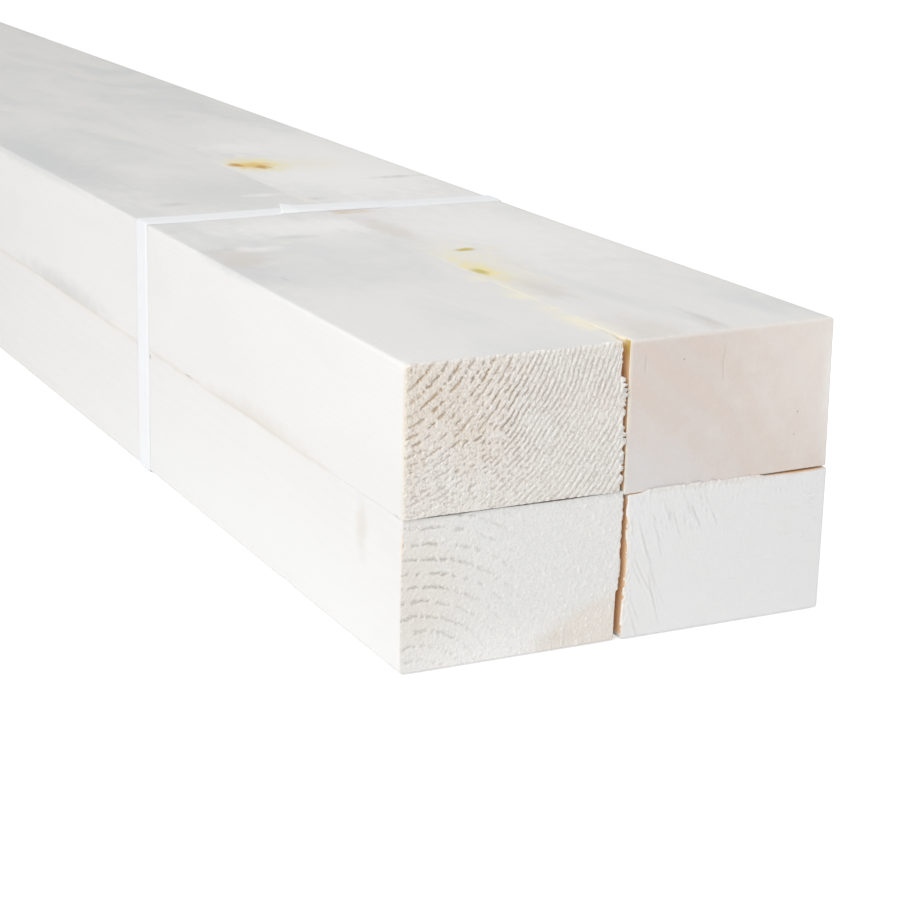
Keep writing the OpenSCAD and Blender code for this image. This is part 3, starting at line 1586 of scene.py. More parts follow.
class GroupTree(Graph):
    """A shader node group with named inputs and outputs."""

    def __init__(
        self, name: str, vectors: Sequence[str], values: dict[str, float], outputs: Sequence[str]
    ) -> None:
        """Makes the group's tree and its sockets.

        Args:
            name: Name of the group.
            vectors: Names of its vector inputs.
            values: Names and defaults of its number inputs.
            outputs: Names of its outputs, all numbers.
        """
        super().__init__(bpy.data.node_groups.new(name, "ShaderNodeTree"))
        sockets = self.tree.interface
        for given in vectors:
            sockets.new_socket(given, in_out="INPUT", socket_type="NodeSocketVector")
        for given, default in values.items():
            sockets.new_socket(given, in_out="INPUT", socket_type="NodeSocketFloat").default_value = default
        for given in outputs:
            sockets.new_socket(given, in_out="OUTPUT", socket_type="NodeSocketFloat")
        self.given = self.tree.nodes.new("NodeGroupInput").outputs
        self.result = self.tree.nodes.new("NodeGroupOutput").inputs

    def put(self, **outputs: Socket) -> bpy.types.NodeTree:
        """Links the outputs.

        Args:
            **outputs: What comes out of the group, by name.

        Returns:
            The finished tree.
        """
        for name, socket in outputs.items():
            self.tree.links.new(socket, self.result[name])
        return self.tree


class Effects:
    """The shader node groups that the finishes share. Steps of noise are in mm along X, Y and Z."""

    ORIGIN = (0.0, 0.0, 0.0)
    RING_STEPS = (24.0, 420.0, 24.0)
    LINE_RISE = (0.45, 0.92)
    LINE_FALL = (1.0, 0.94)
    GREY_STEPS = (34.0, 95.0, 34.0)
    GREY_RANGE = (0.38, 0.72)
    STREAK_STEPS = (1.6, 90.0, 1.6)
    FLECK_STEPS = (0.7, 6.0, 0.7)
    FLECK_RANGE = (0.55, 0.8)
    FIBRE_STEPS = (0.35, 14.0, 0.35)
    KNIFE_SHARE = 0.06
    STREAK_SHARE = 0.6
    FIBRE_SHARE = 0.4
    DUST_STEPS = (3.0, 3.0, 3.0)
    DUST_RANGE = (-0.12, 0.2)
    SCUFF_STEPS = (0.45, 0.45, 0.45)

    def __init__(self) -> None:
        """Builds each group once."""
        self.rings = self.growth_rings()
        self.planing = self.planed_wood()
        self.blemish = self.blemish_mark()
        self.scuffs = self.fine_scuffs()

    def growth_rings(self) -> bpy.types.NodeTree:
        """Rings round a pith along Y, as soft bands and as thin lines of late wood.

        Returns:
            The group's tree.
        """
        g = GroupTree("Growth Rings", ("Position", "Pith"), {"Width": 3.0, "Wander": 1.0}, ("Band", "Line"))
        place = g.given["Position"]
        stray = g.math("SUBTRACT", g.noise(place, self.RING_STEPS, detail=2.0), 0.5)
        off = g.vector("MULTIPLY", g.vector("SUBTRACT", place, g.given["Pith"]), (1.0, 0.0, 1.0))
        stray = g.math("MULTIPLY", stray, g.given["Wander"])
        radius = g.math("ADD", g.vector("LENGTH", off, self.ORIGIN), stray)
        phase = g.math("FRACT", g.math("DIVIDE", radius, g.given["Width"]))
        wave = g.math("COSINE", g.math("MULTIPLY", phase, math.tau))
        line = g.math("MULTIPLY", g.rise(phase, *self.LINE_RISE), g.rise(phase, *self.LINE_FALL))
        return g.put(Band=g.rise(wave, -1.0, 1.0), Line=line)

    def planed_wood(self) -> bpy.types.NodeTree:
        """Greyed patches, streaks along the grain, and the relief that a planer leaves.

        Returns:
            The group's tree.
        """
        outputs = ("Grey", "Streak", "Fleck", "Relief")
        g = GroupTree("Planed Wood", ("Position",), {"Knife Pitch": 4.6}, outputs)
        place = g.given["Position"]
        grey = g.rise(g.noise(place, self.GREY_STEPS, detail=5.0, rough=0.6, swirl=0.6), *self.GREY_RANGE)
        streak = g.noise(place, self.STREAK_STEPS, detail=4.0, rough=0.6)
        fleck = g.rise(g.noise(place, self.FLECK_STEPS, detail=2.0), *self.FLECK_RANGE)
        along = g.node("SeparateXYZ")
        g.plug(along.inputs[0], place)
        turn = g.math("DIVIDE", g.math("MULTIPLY", along.outputs["Y"], math.tau), g.given["Knife Pitch"])
        knife = g.math("MULTIPLY", g.math("COSINE", turn), self.KNIFE_SHARE)
        fibres = g.math("MULTIPLY", g.noise(place, self.FIBRE_STEPS, rough=0.6), self.FIBRE_SHARE)
        grain = g.math("ADD", g.math("MULTIPLY", streak, self.STREAK_SHARE), fibres)
        return g.put(Grey=grey, Streak=streak, Fleck=fleck, Relief=g.math("ADD", knife, grain))

    def blemish_mark(self) -> bpy.types.NodeTree:
        """A soft ragged spot round a centre.

        Returns:
            The group's tree.
        """
        values = {"Rim": 0.0, "Ragged": 0.6, "Core": 0.0}
        g = GroupTree("Blemish Mark", ("Position", "Centre", "Reach"), values, ("Mask",))
        off = g.vector("SUBTRACT", g.given["Position"], g.given["Centre"])
        far = g.vector("LENGTH", g.vector("DIVIDE", off, g.given["Reach"]), self.ORIGIN)
        stray = g.math("MULTIPLY", g.given["Rim"], g.given["Ragged"])
        return g.put(Mask=g.rise(g.math("ADD", far, stray), 1.0, g.given["Core"]))

    def fine_scuffs(self) -> bpy.types.NodeTree:
        """Fine dust and scuffs that dull a surface, with their relief.

        Returns:
            The group's tree.
        """
        g = GroupTree("Fine Scuffs", ("Position",), {"Coverage": 0.5}, ("Dust", "Relief"))
        place = g.given["Position"]
        dust = g.noise(place, self.DUST_STEPS, detail=6.0, rough=0.7)
        level = g.math("SUBTRACT", 1.0, g.given["Coverage"])
        fine = g.noise(place, self.SCUFF_STEPS, rough=0.6)
        cover = g.math("MULTIPLY", g.rise(g.math("SUBTRACT", dust, level), *self.DUST_RANGE), fine)
        return g.put(Dust=cover, Relief=fine)


@dataclass(frozen=True)
class PineFinish:
    """Pale, nearly neutral pine, planed on its sides and sawn at its ends.

    Attributes:
        planed: Colour of the planed sides.
        greyed: Colour of their greyed patches.
        late: Colour of the late wood.
        band: Colour of the bands that the rings leave on a smooth end.
        stain: Colour of resin in the torn grooves.
        amber_and_bounce: Colour of the faces in the gap, partly the wood's own warmer colour and partly
            painted bounce light of the gap.
        burr: Colour of torn fibres at the edges and of dust on the ends; through the burr mask it also paints
            the highlight along the top rim of a front end.
        painted_highlight: Colour of the painted highlight on lit edges.
        seam: Colour of the painted shade along a seam between two studs.
        gap_mouth_shade: Colour of the painted shade in the mouth of the gap.
        roughness: Least and greatest roughness.
        sheen: Level of its reflections.
        relief: Height of its fine relief.
        relief_strength: How strongly that shows.
        side_grey: Share of the greyed patches that shows on the upright sides, against all of them on the
            top.
        ring_tint: How much the late wood shows on the planed sides.
        fleck_tint: How much its flecks show there.
        dust: Share of the ends on which dust lies.
    """

    planed: Colour = (240, 239, 237)
    greyed: Colour = (228, 229, 229)
    late: Colour = (228, 216, 198)
    band: Colour = (229, 211, 199)
    stain: Colour = (198, 160, 104)
    amber_and_bounce: Colour = (245, 211, 173)
    burr: Colour = (248, 246, 242)
    painted_highlight: Colour = (253, 247, 228)
    seam: Colour = (220, 204, 182)
    gap_mouth_shade: Colour = (206, 176, 84)
    roughness: Pair = (0.72, 0.88)
    sheen: float = 0.3
    relief: float = 0.25
    relief_strength: float = 0.3
    side_grey: float = 0.25
    ring_tint: float = 0.05
    fleck_tint: float = 0.1
    dust: float = 0.55

    RIM_STEPS = (5.0, 9.0, 5.0)
    CLOUD_STEPS = (16.0, 16.0, 16.0)
    CLOUD_RANGE = (0.3, 0.7)
    WANDER_SCALE = 4.0
    SPECKLE = (0.35, 0.6, 0.45, 1.2)
    DULL_RANGE = (0.2, 0.8)
    UPWARD_RANGE = (0.3, 0.8)
    STREAK_RISE = (0.5, 0.85, 0.0, 0.12)

    def material(self, stud: Stud, effects: Effects) -> bpy.types.Material:
        """Makes the finish of one stud.

        Args:
            stud: Stud whose rings and blemishes it shows.
            effects: Shared node groups.

        Returns:
            The new material.
        """
        made, g, shader = new_material(f"pine_{stud.node}")
        place = g.position()
        pith = (stud.low[0] + stud.rings.pith[0], 0.0, stud.low[2] + stud.rings.pith[1])
        sizes = {"Width": stud.rings.outer, "Wander": stud.rings.wander * self.WANDER_SCALE}
        rings = g.use(effects.rings, Position=place, Pith=pith, **sizes)
        wood = g.use(effects.planing, Position=place)
        scuffs = g.use(effects.scuffs, Position=place, Coverage=self.dust)
        end = g.mask("end_grain")
        end_colour = self.end_colour(g, stud, rings["Band"], scuffs["Dust"], place)
        colour = g.blend(end, self.side_colour(g, rings, wood), end_colour)
        colour = self.blemished(g, stud, effects, place, colour)
        speckle = g.rise(scuffs["Relief"], *self.SPECKLE)
        # The torn mask darkens the hollows of the ends, partly with the wood's own colour and partly as
        # painted shade
        colour = g.blend(g.math("MULTIPLY", g.mask("torn"), speckle), colour, linear(stud.torn))
        # In order: resin stain, painted highlight, painted shade along a seam, the gap's painted bounce
        # light, painted shade in the gap's mouth, and white burrs with the painted rim highlight
        masks = ("stain", "painted_highlight", "seam", "amber_and_bounce", "gap_mouth_shade", "burr")
        tints = (self.stain, self.painted_highlight, self.seam, self.amber_and_bounce, self.gap_mouth_shade, self.burr)
        for mask, tint in zip(masks, tints):
            colour = g.blend(g.mask(mask), colour, linear(tint))
        g.plug(shader.inputs["Base Color"], colour)
        g.plug(shader.inputs["Roughness"], g.rise(wood["Streak"], *self.DULL_RANGE, *self.roughness))
        shader.inputs["Specular IOR Level"].default_value = self.sheen
        height = g.node("Mix", data_type="FLOAT")
        g.plug(height.inputs[0], end)
        g.plug(height.inputs[2], wood["Relief"])
        g.plug(height.inputs[3], g.math("MULTIPLY", scuffs["Relief"], stud.end_rough))
        normal = g.bump(height.outputs[0], self.relief, self.relief_strength)
        g.plug(shader.inputs["Normal"], normal)
        return made

    def blemished(self, g: Graph, stud: Stud, effects: Effects, place: Socket, colour: Socket) -> Socket:
        """Adds the stud's blemishes to its colour.

        Args:
            g: Graph of the material.
            stud: Stud whose blemishes they are.
            effects: Shared node groups.
            place: Position in mm.
            colour: Colour of the wood.

        Returns:
            The new colour's socket.
        """
        rim = g.about_zero(g.noise(place, self.RIM_STEPS, detail=4.0, rough=0.6))
        for blemish in stud.blemishes:
            tint, cover, core = blemish.mark.value
            sizes = {"Centre": blemish.centre, "Reach": blemish.reach, "Ragged": blemish.ragged, "Core": core}
            spot = g.use(effects.blemish, Position=place, Rim=rim, **sizes)
            colour = g.blend(g.math("MULTIPLY", spot["Mask"], cover), colour, linear(tint))
        return colour

    def side_colour(self, g: Graph, rings: dict[str, Socket], wood: dict[str, Socket]) -> Socket:
        """Colour of the planed sides.

        Args:
            g: Graph of the material.
            rings: Outputs of the growth rings.
            wood: Outputs of the planed wood.

        Returns:
            The colour's socket.
        """
        upward = g.node("SeparateXYZ")
        g.plug(upward.inputs[0], g.node("TexCoord").outputs["Normal"])
        level = g.rise(upward.outputs["Z"], *self.UPWARD_RANGE)
        grey = g.math("MULTIPLY", wood["Grey"], g.rise(level, 0.0, 1.0, self.side_grey, 1.0))
        colour = g.blend(grey, linear(self.planed), linear(self.greyed))
        colour = g.blend(g.math("MULTIPLY", rings["Line"], self.ring_tint), colour, linear(self.late))
        colour = g.blend(g.rise(wood["Streak"], *self.STREAK_RISE), colour, linear(self.greyed))
        return g.blend(g.math("MULTIPLY", wood["Fleck"], self.fleck_tint), colour, linear(self.late))

    def end_colour(self, g: Graph, stud: Stud, band: Socket, dust: Socket, place: Socket) -> Socket:
        """Colour of a sawn end, apart from its torn grooves.

        Args:
            g: Graph of the material.
            stud: Stud whose end it is.
            band: Bands of the growth rings.
            dust: Where dust lies.
            place: Position in mm.

        Returns:
            The colour's socket.
        """
        clouds = g.rise(g.noise(place, self.CLOUD_STEPS), *self.CLOUD_RANGE)
        colour = g.blend(g.math("MULTIPLY", clouds, stud.cloudy), linear(stud.sawn), linear(self.planed))
        colour = g.blend(g.math("MULTIPLY", band, stud.ring_shade), colour, linear(self.band))
        return g.blend(g.math("MULTIPLY", dust, stud.dusty), colour, linear(self.burr))


@dataclass(frozen=True)
class StrapFinish:
    """Bluish white plastic with a satin sheen, dulled by fine dust.

    Attributes:
        plastic: Colour of the clean plastic.
        dulled: Colour where dust and scuffs lie.
        fresh: Whiter colour of the loose end, which is clean plastic and also carries a painted highlight,
            and of part of the top.
        roughness: Roughness of the clean plastic and of dusty plastic.
        relief: Height of its fine relief.
        relief_strength: How strongly that shows.
        dust: Share of it on which dust lies.
    """

    plastic: Colour = (237, 238, 241)
    dulled: Colour = (234, 235, 238)
    fresh: Colour = (252, 253, 254)
    roughness: Pair = (0.34, 0.59)
    relief: float = 0.03
    relief_strength: float = 0.3
    dust: float = 0.45

    DUST_RANGE = (0.0, 0.7)

    def material(self, effects: Effects) -> bpy.types.Material:
        """Makes the finish.

        Args:
            effects: Shared node groups.

        Returns:
            The new material.
        """
        made, g, shader = new_material("strap_plastic")
        scuffs = g.use(effects.scuffs, Position=g.position(), Coverage=self.dust)
        colour = g.blend(scuffs["Dust"], linear(self.plastic), linear(self.dulled))
        g.plug(shader.inputs["Base Color"], g.blend(g.mask("fresh"), colour, linear(self.fresh)))
        g.plug(shader.inputs["Roughness"], g.rise(scuffs["Dust"], *self.DUST_RANGE, *self.roughness))
        g.plug(shader.inputs["Normal"], g.bump(scuffs["Relief"], self.relief, self.relief_strength))
        return made


@dataclass
class Strap(Framed):
    """One strap: a flat band once round the bundle, welded to itself on the top.

    Attributes:
        edge_lift: How far its front edge stands up where it crosses the gap between the studs.
        drift: How far its left part strays towards the front.
        thickness: Thickness of the band.
        bend: Inside radius of its bends.
        free_end: Place along X of its loose end.
        lip: Length of its loose lip.
        lip_rise: Height of the solid's lip above the strap under it.
        ramp: Places along X between which the upper layer comes down.
        tail: Place along X at which the hidden end stops.
        bevel: Width of the bevel along each edge.
    """

    edge_lift: float = 0.06
    drift: float = 3.0
    thickness: float = 0.6
    bend: float = 0.5
    free_end: float = -15.0
    lip: float = 6.0
    lip_rise: float = 0.8
    ramp: Pair = (20.0, 26.0)
    tail: float = 25.4
    bevel: float = 2.0

    SLOT = "strap_plastic"
    MASKS = ("fresh",)
    CORNER_RISES = (0.05, 1.3)
    LIP_POWER = 1.2
    DRIFT_ZONE = (8.0, 60.0)
    SEAM_RISE = (-4.0, 4.0)
    SEAM_FALL = (10.0, 22.0)
    PITCH = 0.6
    BEND_CELLS = 6
    OUTER_CELLS = 20
    INNER_CELLS = 6
    BEVEL_SHARES = (0.25, 0.02)
    TAIL_THINNING = 0.95
    LEVEL = 0.99
    EMBOSS = 0.02
    EMBOSS_PITCH = 1.5
    EMBOSS_SHARE = 0.64
    WELD_RIB = 0.035
    WELD_PITCH = 1.6
    SLANT = 4.2
    FRESH_SLANT = 0.25
    FRESH_RANGE = (0.1, 0.35)
    TOP_CLEAN = 0.5
    SKIRT = 0.38
    SKIRT_SHARE = 0.2

    def route(self) -> tuple[Array, Array, Array]:
        """Walks along the inner face of the strap, from its free end once round to its tail.

        Returns:
            Places in X and Z, outward directions in X and Z, and whether each place is in the upper layer.
        """
        half = self.high[0] - self.thickness
        bottom = self.low[2] + self.thickness
        top = self.high[2] - self.lip_rise - 2 * self.thickness
        inner, low_bend, high_bend = half - self.bend, bottom + self.bend, top - self.bend
        places, outward, upper = [], [], []

        def straight(start: Pair, stop: Pair, facing: Pair, layer: bool = False) -> None:
            """Adds a straight stretch, without its last point.

            Args:
                start: Where it starts.
                stop: Where it stops.
                facing: Outward direction.
                layer: Whether it is in the upper layer.
            """
            count = max(round(math.dist(start, stop) / self.PITCH), 2)
            for k in range(count):
                places.append(np.array(start) + (np.array(stop) - np.array(start)) * k / count)
                outward.append(np.array(facing, float))
                upper.append(layer)

        def quarter_turn(centre: Pair, start: float) -> None:
            """Adds a quarter turn to the right, without its last point.

            Args:
                centre: Centre of the bend.
                start: Outward direction at its start, in degrees.
            """
            for k in range(self.BEND_CELLS):
                turn = math.radians(start - 90 * k / self.BEND_CELLS)
                facing = np.array([math.cos(turn), math.sin(turn)])
                places.append(np.array(centre) + self.bend * facing)
                outward.append(facing)
                upper.append(False)

        straight((self.free_end, top), (self.ramp[1], top), (0, 1), layer=True)
        straight((self.ramp[1], top), (inner, top), (0, 1))
        quarter_turn((inner, high_bend), 90)
        straight((half, high_bend), (half, low_bend), (1, 0))
        quarter_turn((inner, low_bend), 0)
        straight((inner, bottom), (-inner, bottom), (0, -1))
        quarter_turn((-inner, low_bend), -90)
        straight((-half, low_bend), (-half, high_bend), (-1, 0))
        quarter_turn((-inner, high_bend), 180)
        straight((-inner, top), (self.tail, top), (0, 1))
        return np.array(places), np.array(outward), np.array(upper)

    def section(self) -> tuple[Array, Array]:
        """Outline of the strap's section.

        Returns:
            Places across the strap, from -1 to 1, and shares of its thickness.
        """
        half = (self.high[1] - self.low[1]) / 2
        rim = 1 - self.bevel / half
        outer = np.linspace(-rim, rim, self.OUTER_CELLS + 1)
        inner = np.linspace(rim, -rim, self.INNER_CELLS + 1)
        falling = self.BEVEL_SHARES
        across = np.concatenate([outer, [1, 1], inner, [-1, -1]])
        share = np.concatenate([np.ones_like(outer), falling, np.zeros_like(inner), falling[::-1]])
        return across, share

    def relief(self, places: Array, along: Array, upper: Array) -> Array:
        """Embossed diamonds, and ribs where the two layers are welded.

        Args:
            places: Places of the route in X and Z.
            along: Distances along the route.
            upper: Whether each place is in the upper layer.

        Returns:
            How far each point of each section stands out.
        """
        across, share = self.section()
        aside = across * (self.high[1] - self.low[1]) / 2
        outer = (share == 1) & (np.abs(across) < self.EMBOSS_SHARE)
        weld = upper & (places[:, 0] > self.free_end + self.lip) & (places[:, 0] < self.ramp[0])
        diamonds = np.cos(math.pi * (along[:, None] + aside) / self.EMBOSS_PITCH)
        diamonds = diamonds * np.cos(math.pi * (along[:, None] - aside) / self.EMBOSS_PITCH)
        ribs = np.cos(math.tau * along / self.WELD_PITCH)[:, None] * self.WELD_RIB
        return np.where(weld[:, None], ribs, diamonds * self.EMBOSS) * outer

    def build(self) -> bpy.types.Object:
        """Makes the strap's closed mesh.

        Returns:
            The object, which isn't dressed yet.
        """
        places, outward, upper = self.route()
        across, share = self.section()
        half, middle = (self.high[1] - self.low[1]) / 2, (self.high[1] + self.low[1]) / 2
        steps = np.linalg.norm(np.diff(places, axis=0), axis=1)
        along = np.concatenate([[0], np.cumsum(steps)])
        tail = ~upper & (along > along[-1] / 2) & (outward[:, 1] > self.LEVEL)
        thin = np.where(tail, 1 - self.TAIL_THINNING * ease(places[:, 0], *self.ramp), 1)[:, None]
        stand = share * thin * self.thickness + self.relief(places, along, upper)
        x = places[:, None, 0] + outward[:, None, 0] * stand
        z = places[:, None, 1] + outward[:, None, 1] * stand
        flat = outward[:, None, 1] > self.LEVEL
        front = (1 - across) / 2
        lip = np.clip(1 - along / self.lip, 0, 1)[:, None]
        layer = self.thickness * upper[:, None] * (1 - ease(places[:, None, 0], *self.ramp))
        low_corner, high_corner = self.CORNER_RISES
        lifted = lip**self.LIP_POWER * (high_corner + (low_corner - high_corner) * front)
        seam = ease(places[:, None, 0], *self.SEAM_RISE) * (1 - ease(places[:, None, 0], *self.SEAM_FALL))
        raised = layer + np.where(upper[:, None], lifted, 0) + flat * self.edge_lift * seam * front**2
        skirt = (np.abs(across) == 1) & (share < self.SKIRT_SHARE)
        pressed = upper[:, None] & ((lip == 0) | (across < 0)) & skirt
        raised = raised - np.where(pressed, self.SKIRT, 0) * (layer / self.thickness)
        stray = self.drift * ease(-x, *self.DRIFT_ZONE)
        x = x - np.where(upper[:, None], self.SLANT * lip * front, 0)
        y = middle + across * half - stray
        # The loose lip is painted whiter, partly clean plastic and partly a painted highlight where it faces
        # the lamp
        fresh = np.where(upper[:, None], ease(lip + self.FRESH_SLANT * (front - 1), *self.FRESH_RANGE), 0)
        fresh = np.maximum(fresh, self.TOP_CLEAN * flat)
        draft = MeshDraft(self.MASKS)
        numbers = draft.add_points(np.stack([x, y, z + raised], -1), fresh=fresh)
        closed = np.concatenate([numbers, numbers[:, :1]], 1)
        draft.add_faces(np.stack(cells_of(closed), -1).reshape(-1, 4))
        draft.add_faces(numbers[0][None])
        draft.add_faces(numbers[-1][::-1][None])
        return draft.to_object(self.node + ".band")


@dataclass(frozen=True)
class Studio:
    """White floor, even light from all round, one large lamp and the camera.

    Attributes:
        ambient: Brightness of the light from all round.
        floor_tone: Colour of the floor.
        floor_glow: What the floor adds to its own colour for the camera, to show as white.
        floor_size: Length of the floor's side, in m.
        floor_drop: How far the floor lies below the straps.
        floor_roughness: Roughness of the floor.
        camera_place: Place of the camera in the row frame.
        yaw: Turn of the view from +Y towards +X, in degrees.
        pitch: Tilt of the view below the horizon, in degrees.
        roll: Turn of the camera about its own axis, in degrees.
        lens: Focal length.
        sensor: Width of the sensor.
        lamp_aim: Point that the lamp faces, in m.
        lamp_towards: Direction from that point to the lamp.
        lamp_distance: Distance from that point, in m.
        lamp_size: Length of the square lamp's side, in m.
        lamp_level: Brightness of a white surface that faces it at that point.
    """

    ambient: float = 0.545
    floor_tone: Colour = (236, 236, 236)
    floor_glow: float = 0.58
    floor_size: float = 16.0
    floor_drop: float = 0.05
    floor_roughness: float = 0.95
    camera_place: Place = (-320.4, -1716.7, 235.9)
    yaw: float = 27.05
    pitch: float = 16.44
    roll: float = 1.5
    lens: float = 88.3
    sensor: float = 36.0
    lamp_aim: Place = (0.0, -1.1, 0.05)
    lamp_towards: Place = (-0.69, -0.46, 0.56)
    lamp_distance: float = 1.9
    lamp_size: float = 1.3
    lamp_level: float = 0.61

    def build(self) -> None:
        """Makes the floor, the light and the camera."""
        scene = bpy.context.scene
        scene.view_settings.view_transform = "Standard"
        self.light_world(scene)
        self.lay_floor()
        self.hang_lamp(scene)
        self.place_camera(scene)

    def hang_lamp(self, scene: bpy.types.Scene) -> None:
        """Makes the square soft lamp.

        Args:
            scene: Scene that it lights.
        """
        data = bpy.data.lights.new("key", "AREA")
        data.shape = "SQUARE"
        data.size = self.lamp_size
        data.energy = self.lamp_level * (math.pi * self.lamp_distance) ** 2
        lamp = bpy.data.objects.new("key", data)
        direction = Vector(self.lamp_towards).normalized()
        lamp.location = Vector(self.lamp_aim) + direction * self.lamp_distance
        lamp.rotation_euler = direction.to_track_quat("Z", "Y").to_euler()
        scene.collection.objects.link(lamp)

    @staticmethod
    def background_rays(g: Graph) -> Socket:
        """Finds the rays which show the background, seen directly, mirrored or through glass.

        Args:
            g: Graph of the world or of a material.

        Returns:
            Socket of a level that is 1 for such rays.
        """
        path = g.node("LightPath").outputs
        seen = g.math("MAXIMUM", path["Is Camera Ray"], path["Is Glossy Ray"])
        return g.math("MAXIMUM", seen, path["Is Transmission Ray"])

    def light_world(self, scene: bpy.types.Scene) -> None:
        """Gives the world an even light and a white look.

        Args:
            scene: Scene that the world belongs to.
        """
        world = bpy.data.worlds.new("studio")
        world.use_nodes = True
        scene.world = world
        g = Graph(world.node_tree)
        background = world.node_tree.nodes["Background"]
        background.inputs["Color"].default_value = WHITE
        g.plug(background.inputs["Strength"], g.rise(self.background_rays(g), 0.0, 1.0, self.ambient, 1.0))

    def lay_floor(self) -> None:
        """Makes the floor, which looks white and keeps the shadow."""
        half, level = self.floor_size / 2, -self.floor_drop * MM
        mesh = bpy.data.meshes.new("floor")
        corners = ((-half, -half), (half, -half), (half, half), (-half, half))
        mesh.from_pydata([(x, y, level) for x, y in corners], [], [(0, 1, 2, 3)])
        floor = bpy.data.objects.new("floor", mesh)
        bpy.context.scene.collection.objects.link(floor)
        made, g, shader = new_material("white_floor")
        shader.inputs["Base Color"].default_value = linear(self.floor_tone)
        shader.inputs["Roughness"].default_value = self.floor_roughness
        shader.inputs["Specular IOR Level"].default_value = 0.0
        shader.inputs["Emission Color"].default_value = WHITE
        glow = g.math("MULTIPLY", self.background_rays(g), self.floor_glow)
        g.plug(shader.inputs["Emission Strength"], glow)
        mesh.materials.append(made)

    def place_camera(self, scene: bpy.types.Scene) -> None:
        """Places the camera at the photograph's viewing angle.

        Args:
            scene: Scene that it shows.
        """
        data = bpy.data.cameras.new("camera")
        data.lens = self.lens
        data.sensor_width = self.sensor
        camera = bpy.data.objects.new("camera", data)
        turn = Matrix.Rotation(-math.radians(self.yaw), 4, "Z")
        tilt = Matrix.Rotation(math.radians(90 - self.pitch), 4, "X")
        lean = Matrix.Rotation(math.radians(self.roll), 4, "Z")
        camera.matrix_world = Matrix.Translation(Vector(self.camera_place) * MM) @ turn @ tilt @ lean
        scene.collection.objects.link(camera)
        scene.camera = camera


# Height of the bundle's top and place of its front end, in mm
TOP = 90.6
END = -1200.0

# Painted shade along stretches of the seam between the two left ends
LEFT_SEAM_SHADES = (
    Blemish(Mark.SEAM_SHADE, (-24, END, 46.05), (21, 4, 0.45), 0.35),
    Blemish(Mark.SEAM_SHADE, (-55, END, 46), (14, 4, 0.4), 0.8),
)

# A rear end, which the photograph doesn't show
PLAIN_CUT = SawCut(seed=90, groove_depth=0.12, fuzz=0.06, tint=0.3, stain=0.2)


UPPER_LEFT_MARKS = (
    Blemish(Mark.SMOKE, (-67, -840, TOP), (28, 130, 4), 0.3),
    Blemish(Mark.SMOKE, (-68, -1070, TOP), (20, 45, 3), 0.4),
    Blemish(Mark.HAZE, (-28, -938, TOP), (46, 60, 3), 0.3),
    Blemish(Mark.HAZE, (-56, -886, TOP), (20, 52, 3), 0.3),
    Blemish(Mark.LIGHT, (-22, -1036, TOP), (38, 46, 3), 0.3),
    Blemish(Mark.CLAY, (-60, -1053, TOP), (16, 20, 3), 0.6),
    Blemish(Mark.PALE, (-26, -1013, TOP), (46, 26, 3), 0.5),
    Blemish(Mark.PALE, (-6, -1012, TOP), (18, 18, 3), 0.5),
    Blemish(Mark.GREY, (-48, -956, TOP), (8, 5.5, 3), 0.4),
    Blemish(Mark.PALE, (-10, -948, TOP), (12, 5, 3), 0.5),
    Blemish(Mark.CLAY, (-68, -1007, TOP), (4, 5, 3), 0.6),
    Blemish(Mark.CLAY, (-70.65, -1094, 46), (3, 64, 7), 0.4),
    Blemish(Mark.GREY, (-70.65, -888, 47), (3, 80, 8), 0.4),
    Blemish(Mark.PALE, (-50, -1043, TOP), (13, 7, 3), 0.8),
    Blemish(Mark.GREY, (-63, -1041, TOP), (8, 5, 3), 0.7),
    Blemish(Mark.CLAY, (-62, -1064, TOP), (11, 10, 3), 0.8),
    Blemish(Mark.GREY, (-31, -1028, TOP), (11, 5, 3), 0.8),
    Blemish(Mark.HALO, (-38, -1037, TOP), (6, 2.5, 3), 0.5),
    Blemish(Mark.TAN, (-3, END, 89.6), (3.5, 4, 1.2), 0.5),
    Blemish(Mark.GREY, (-59.5, -1090, TOP), (1.5, 5.5, 3), 0.4),
    Blemish(Mark.WARM, (-72, END, 86), (52, 1.5, 30), 0.25),
    Blemish(Mark.WARM, (-75, END, 68), (19, 1.5, 42), 0.3),
    Blemish(Mark.WARM, (-51, END, 69), (15, 1.5, 17), 0.4),
    *LEFT_SEAM_SHADES,
)


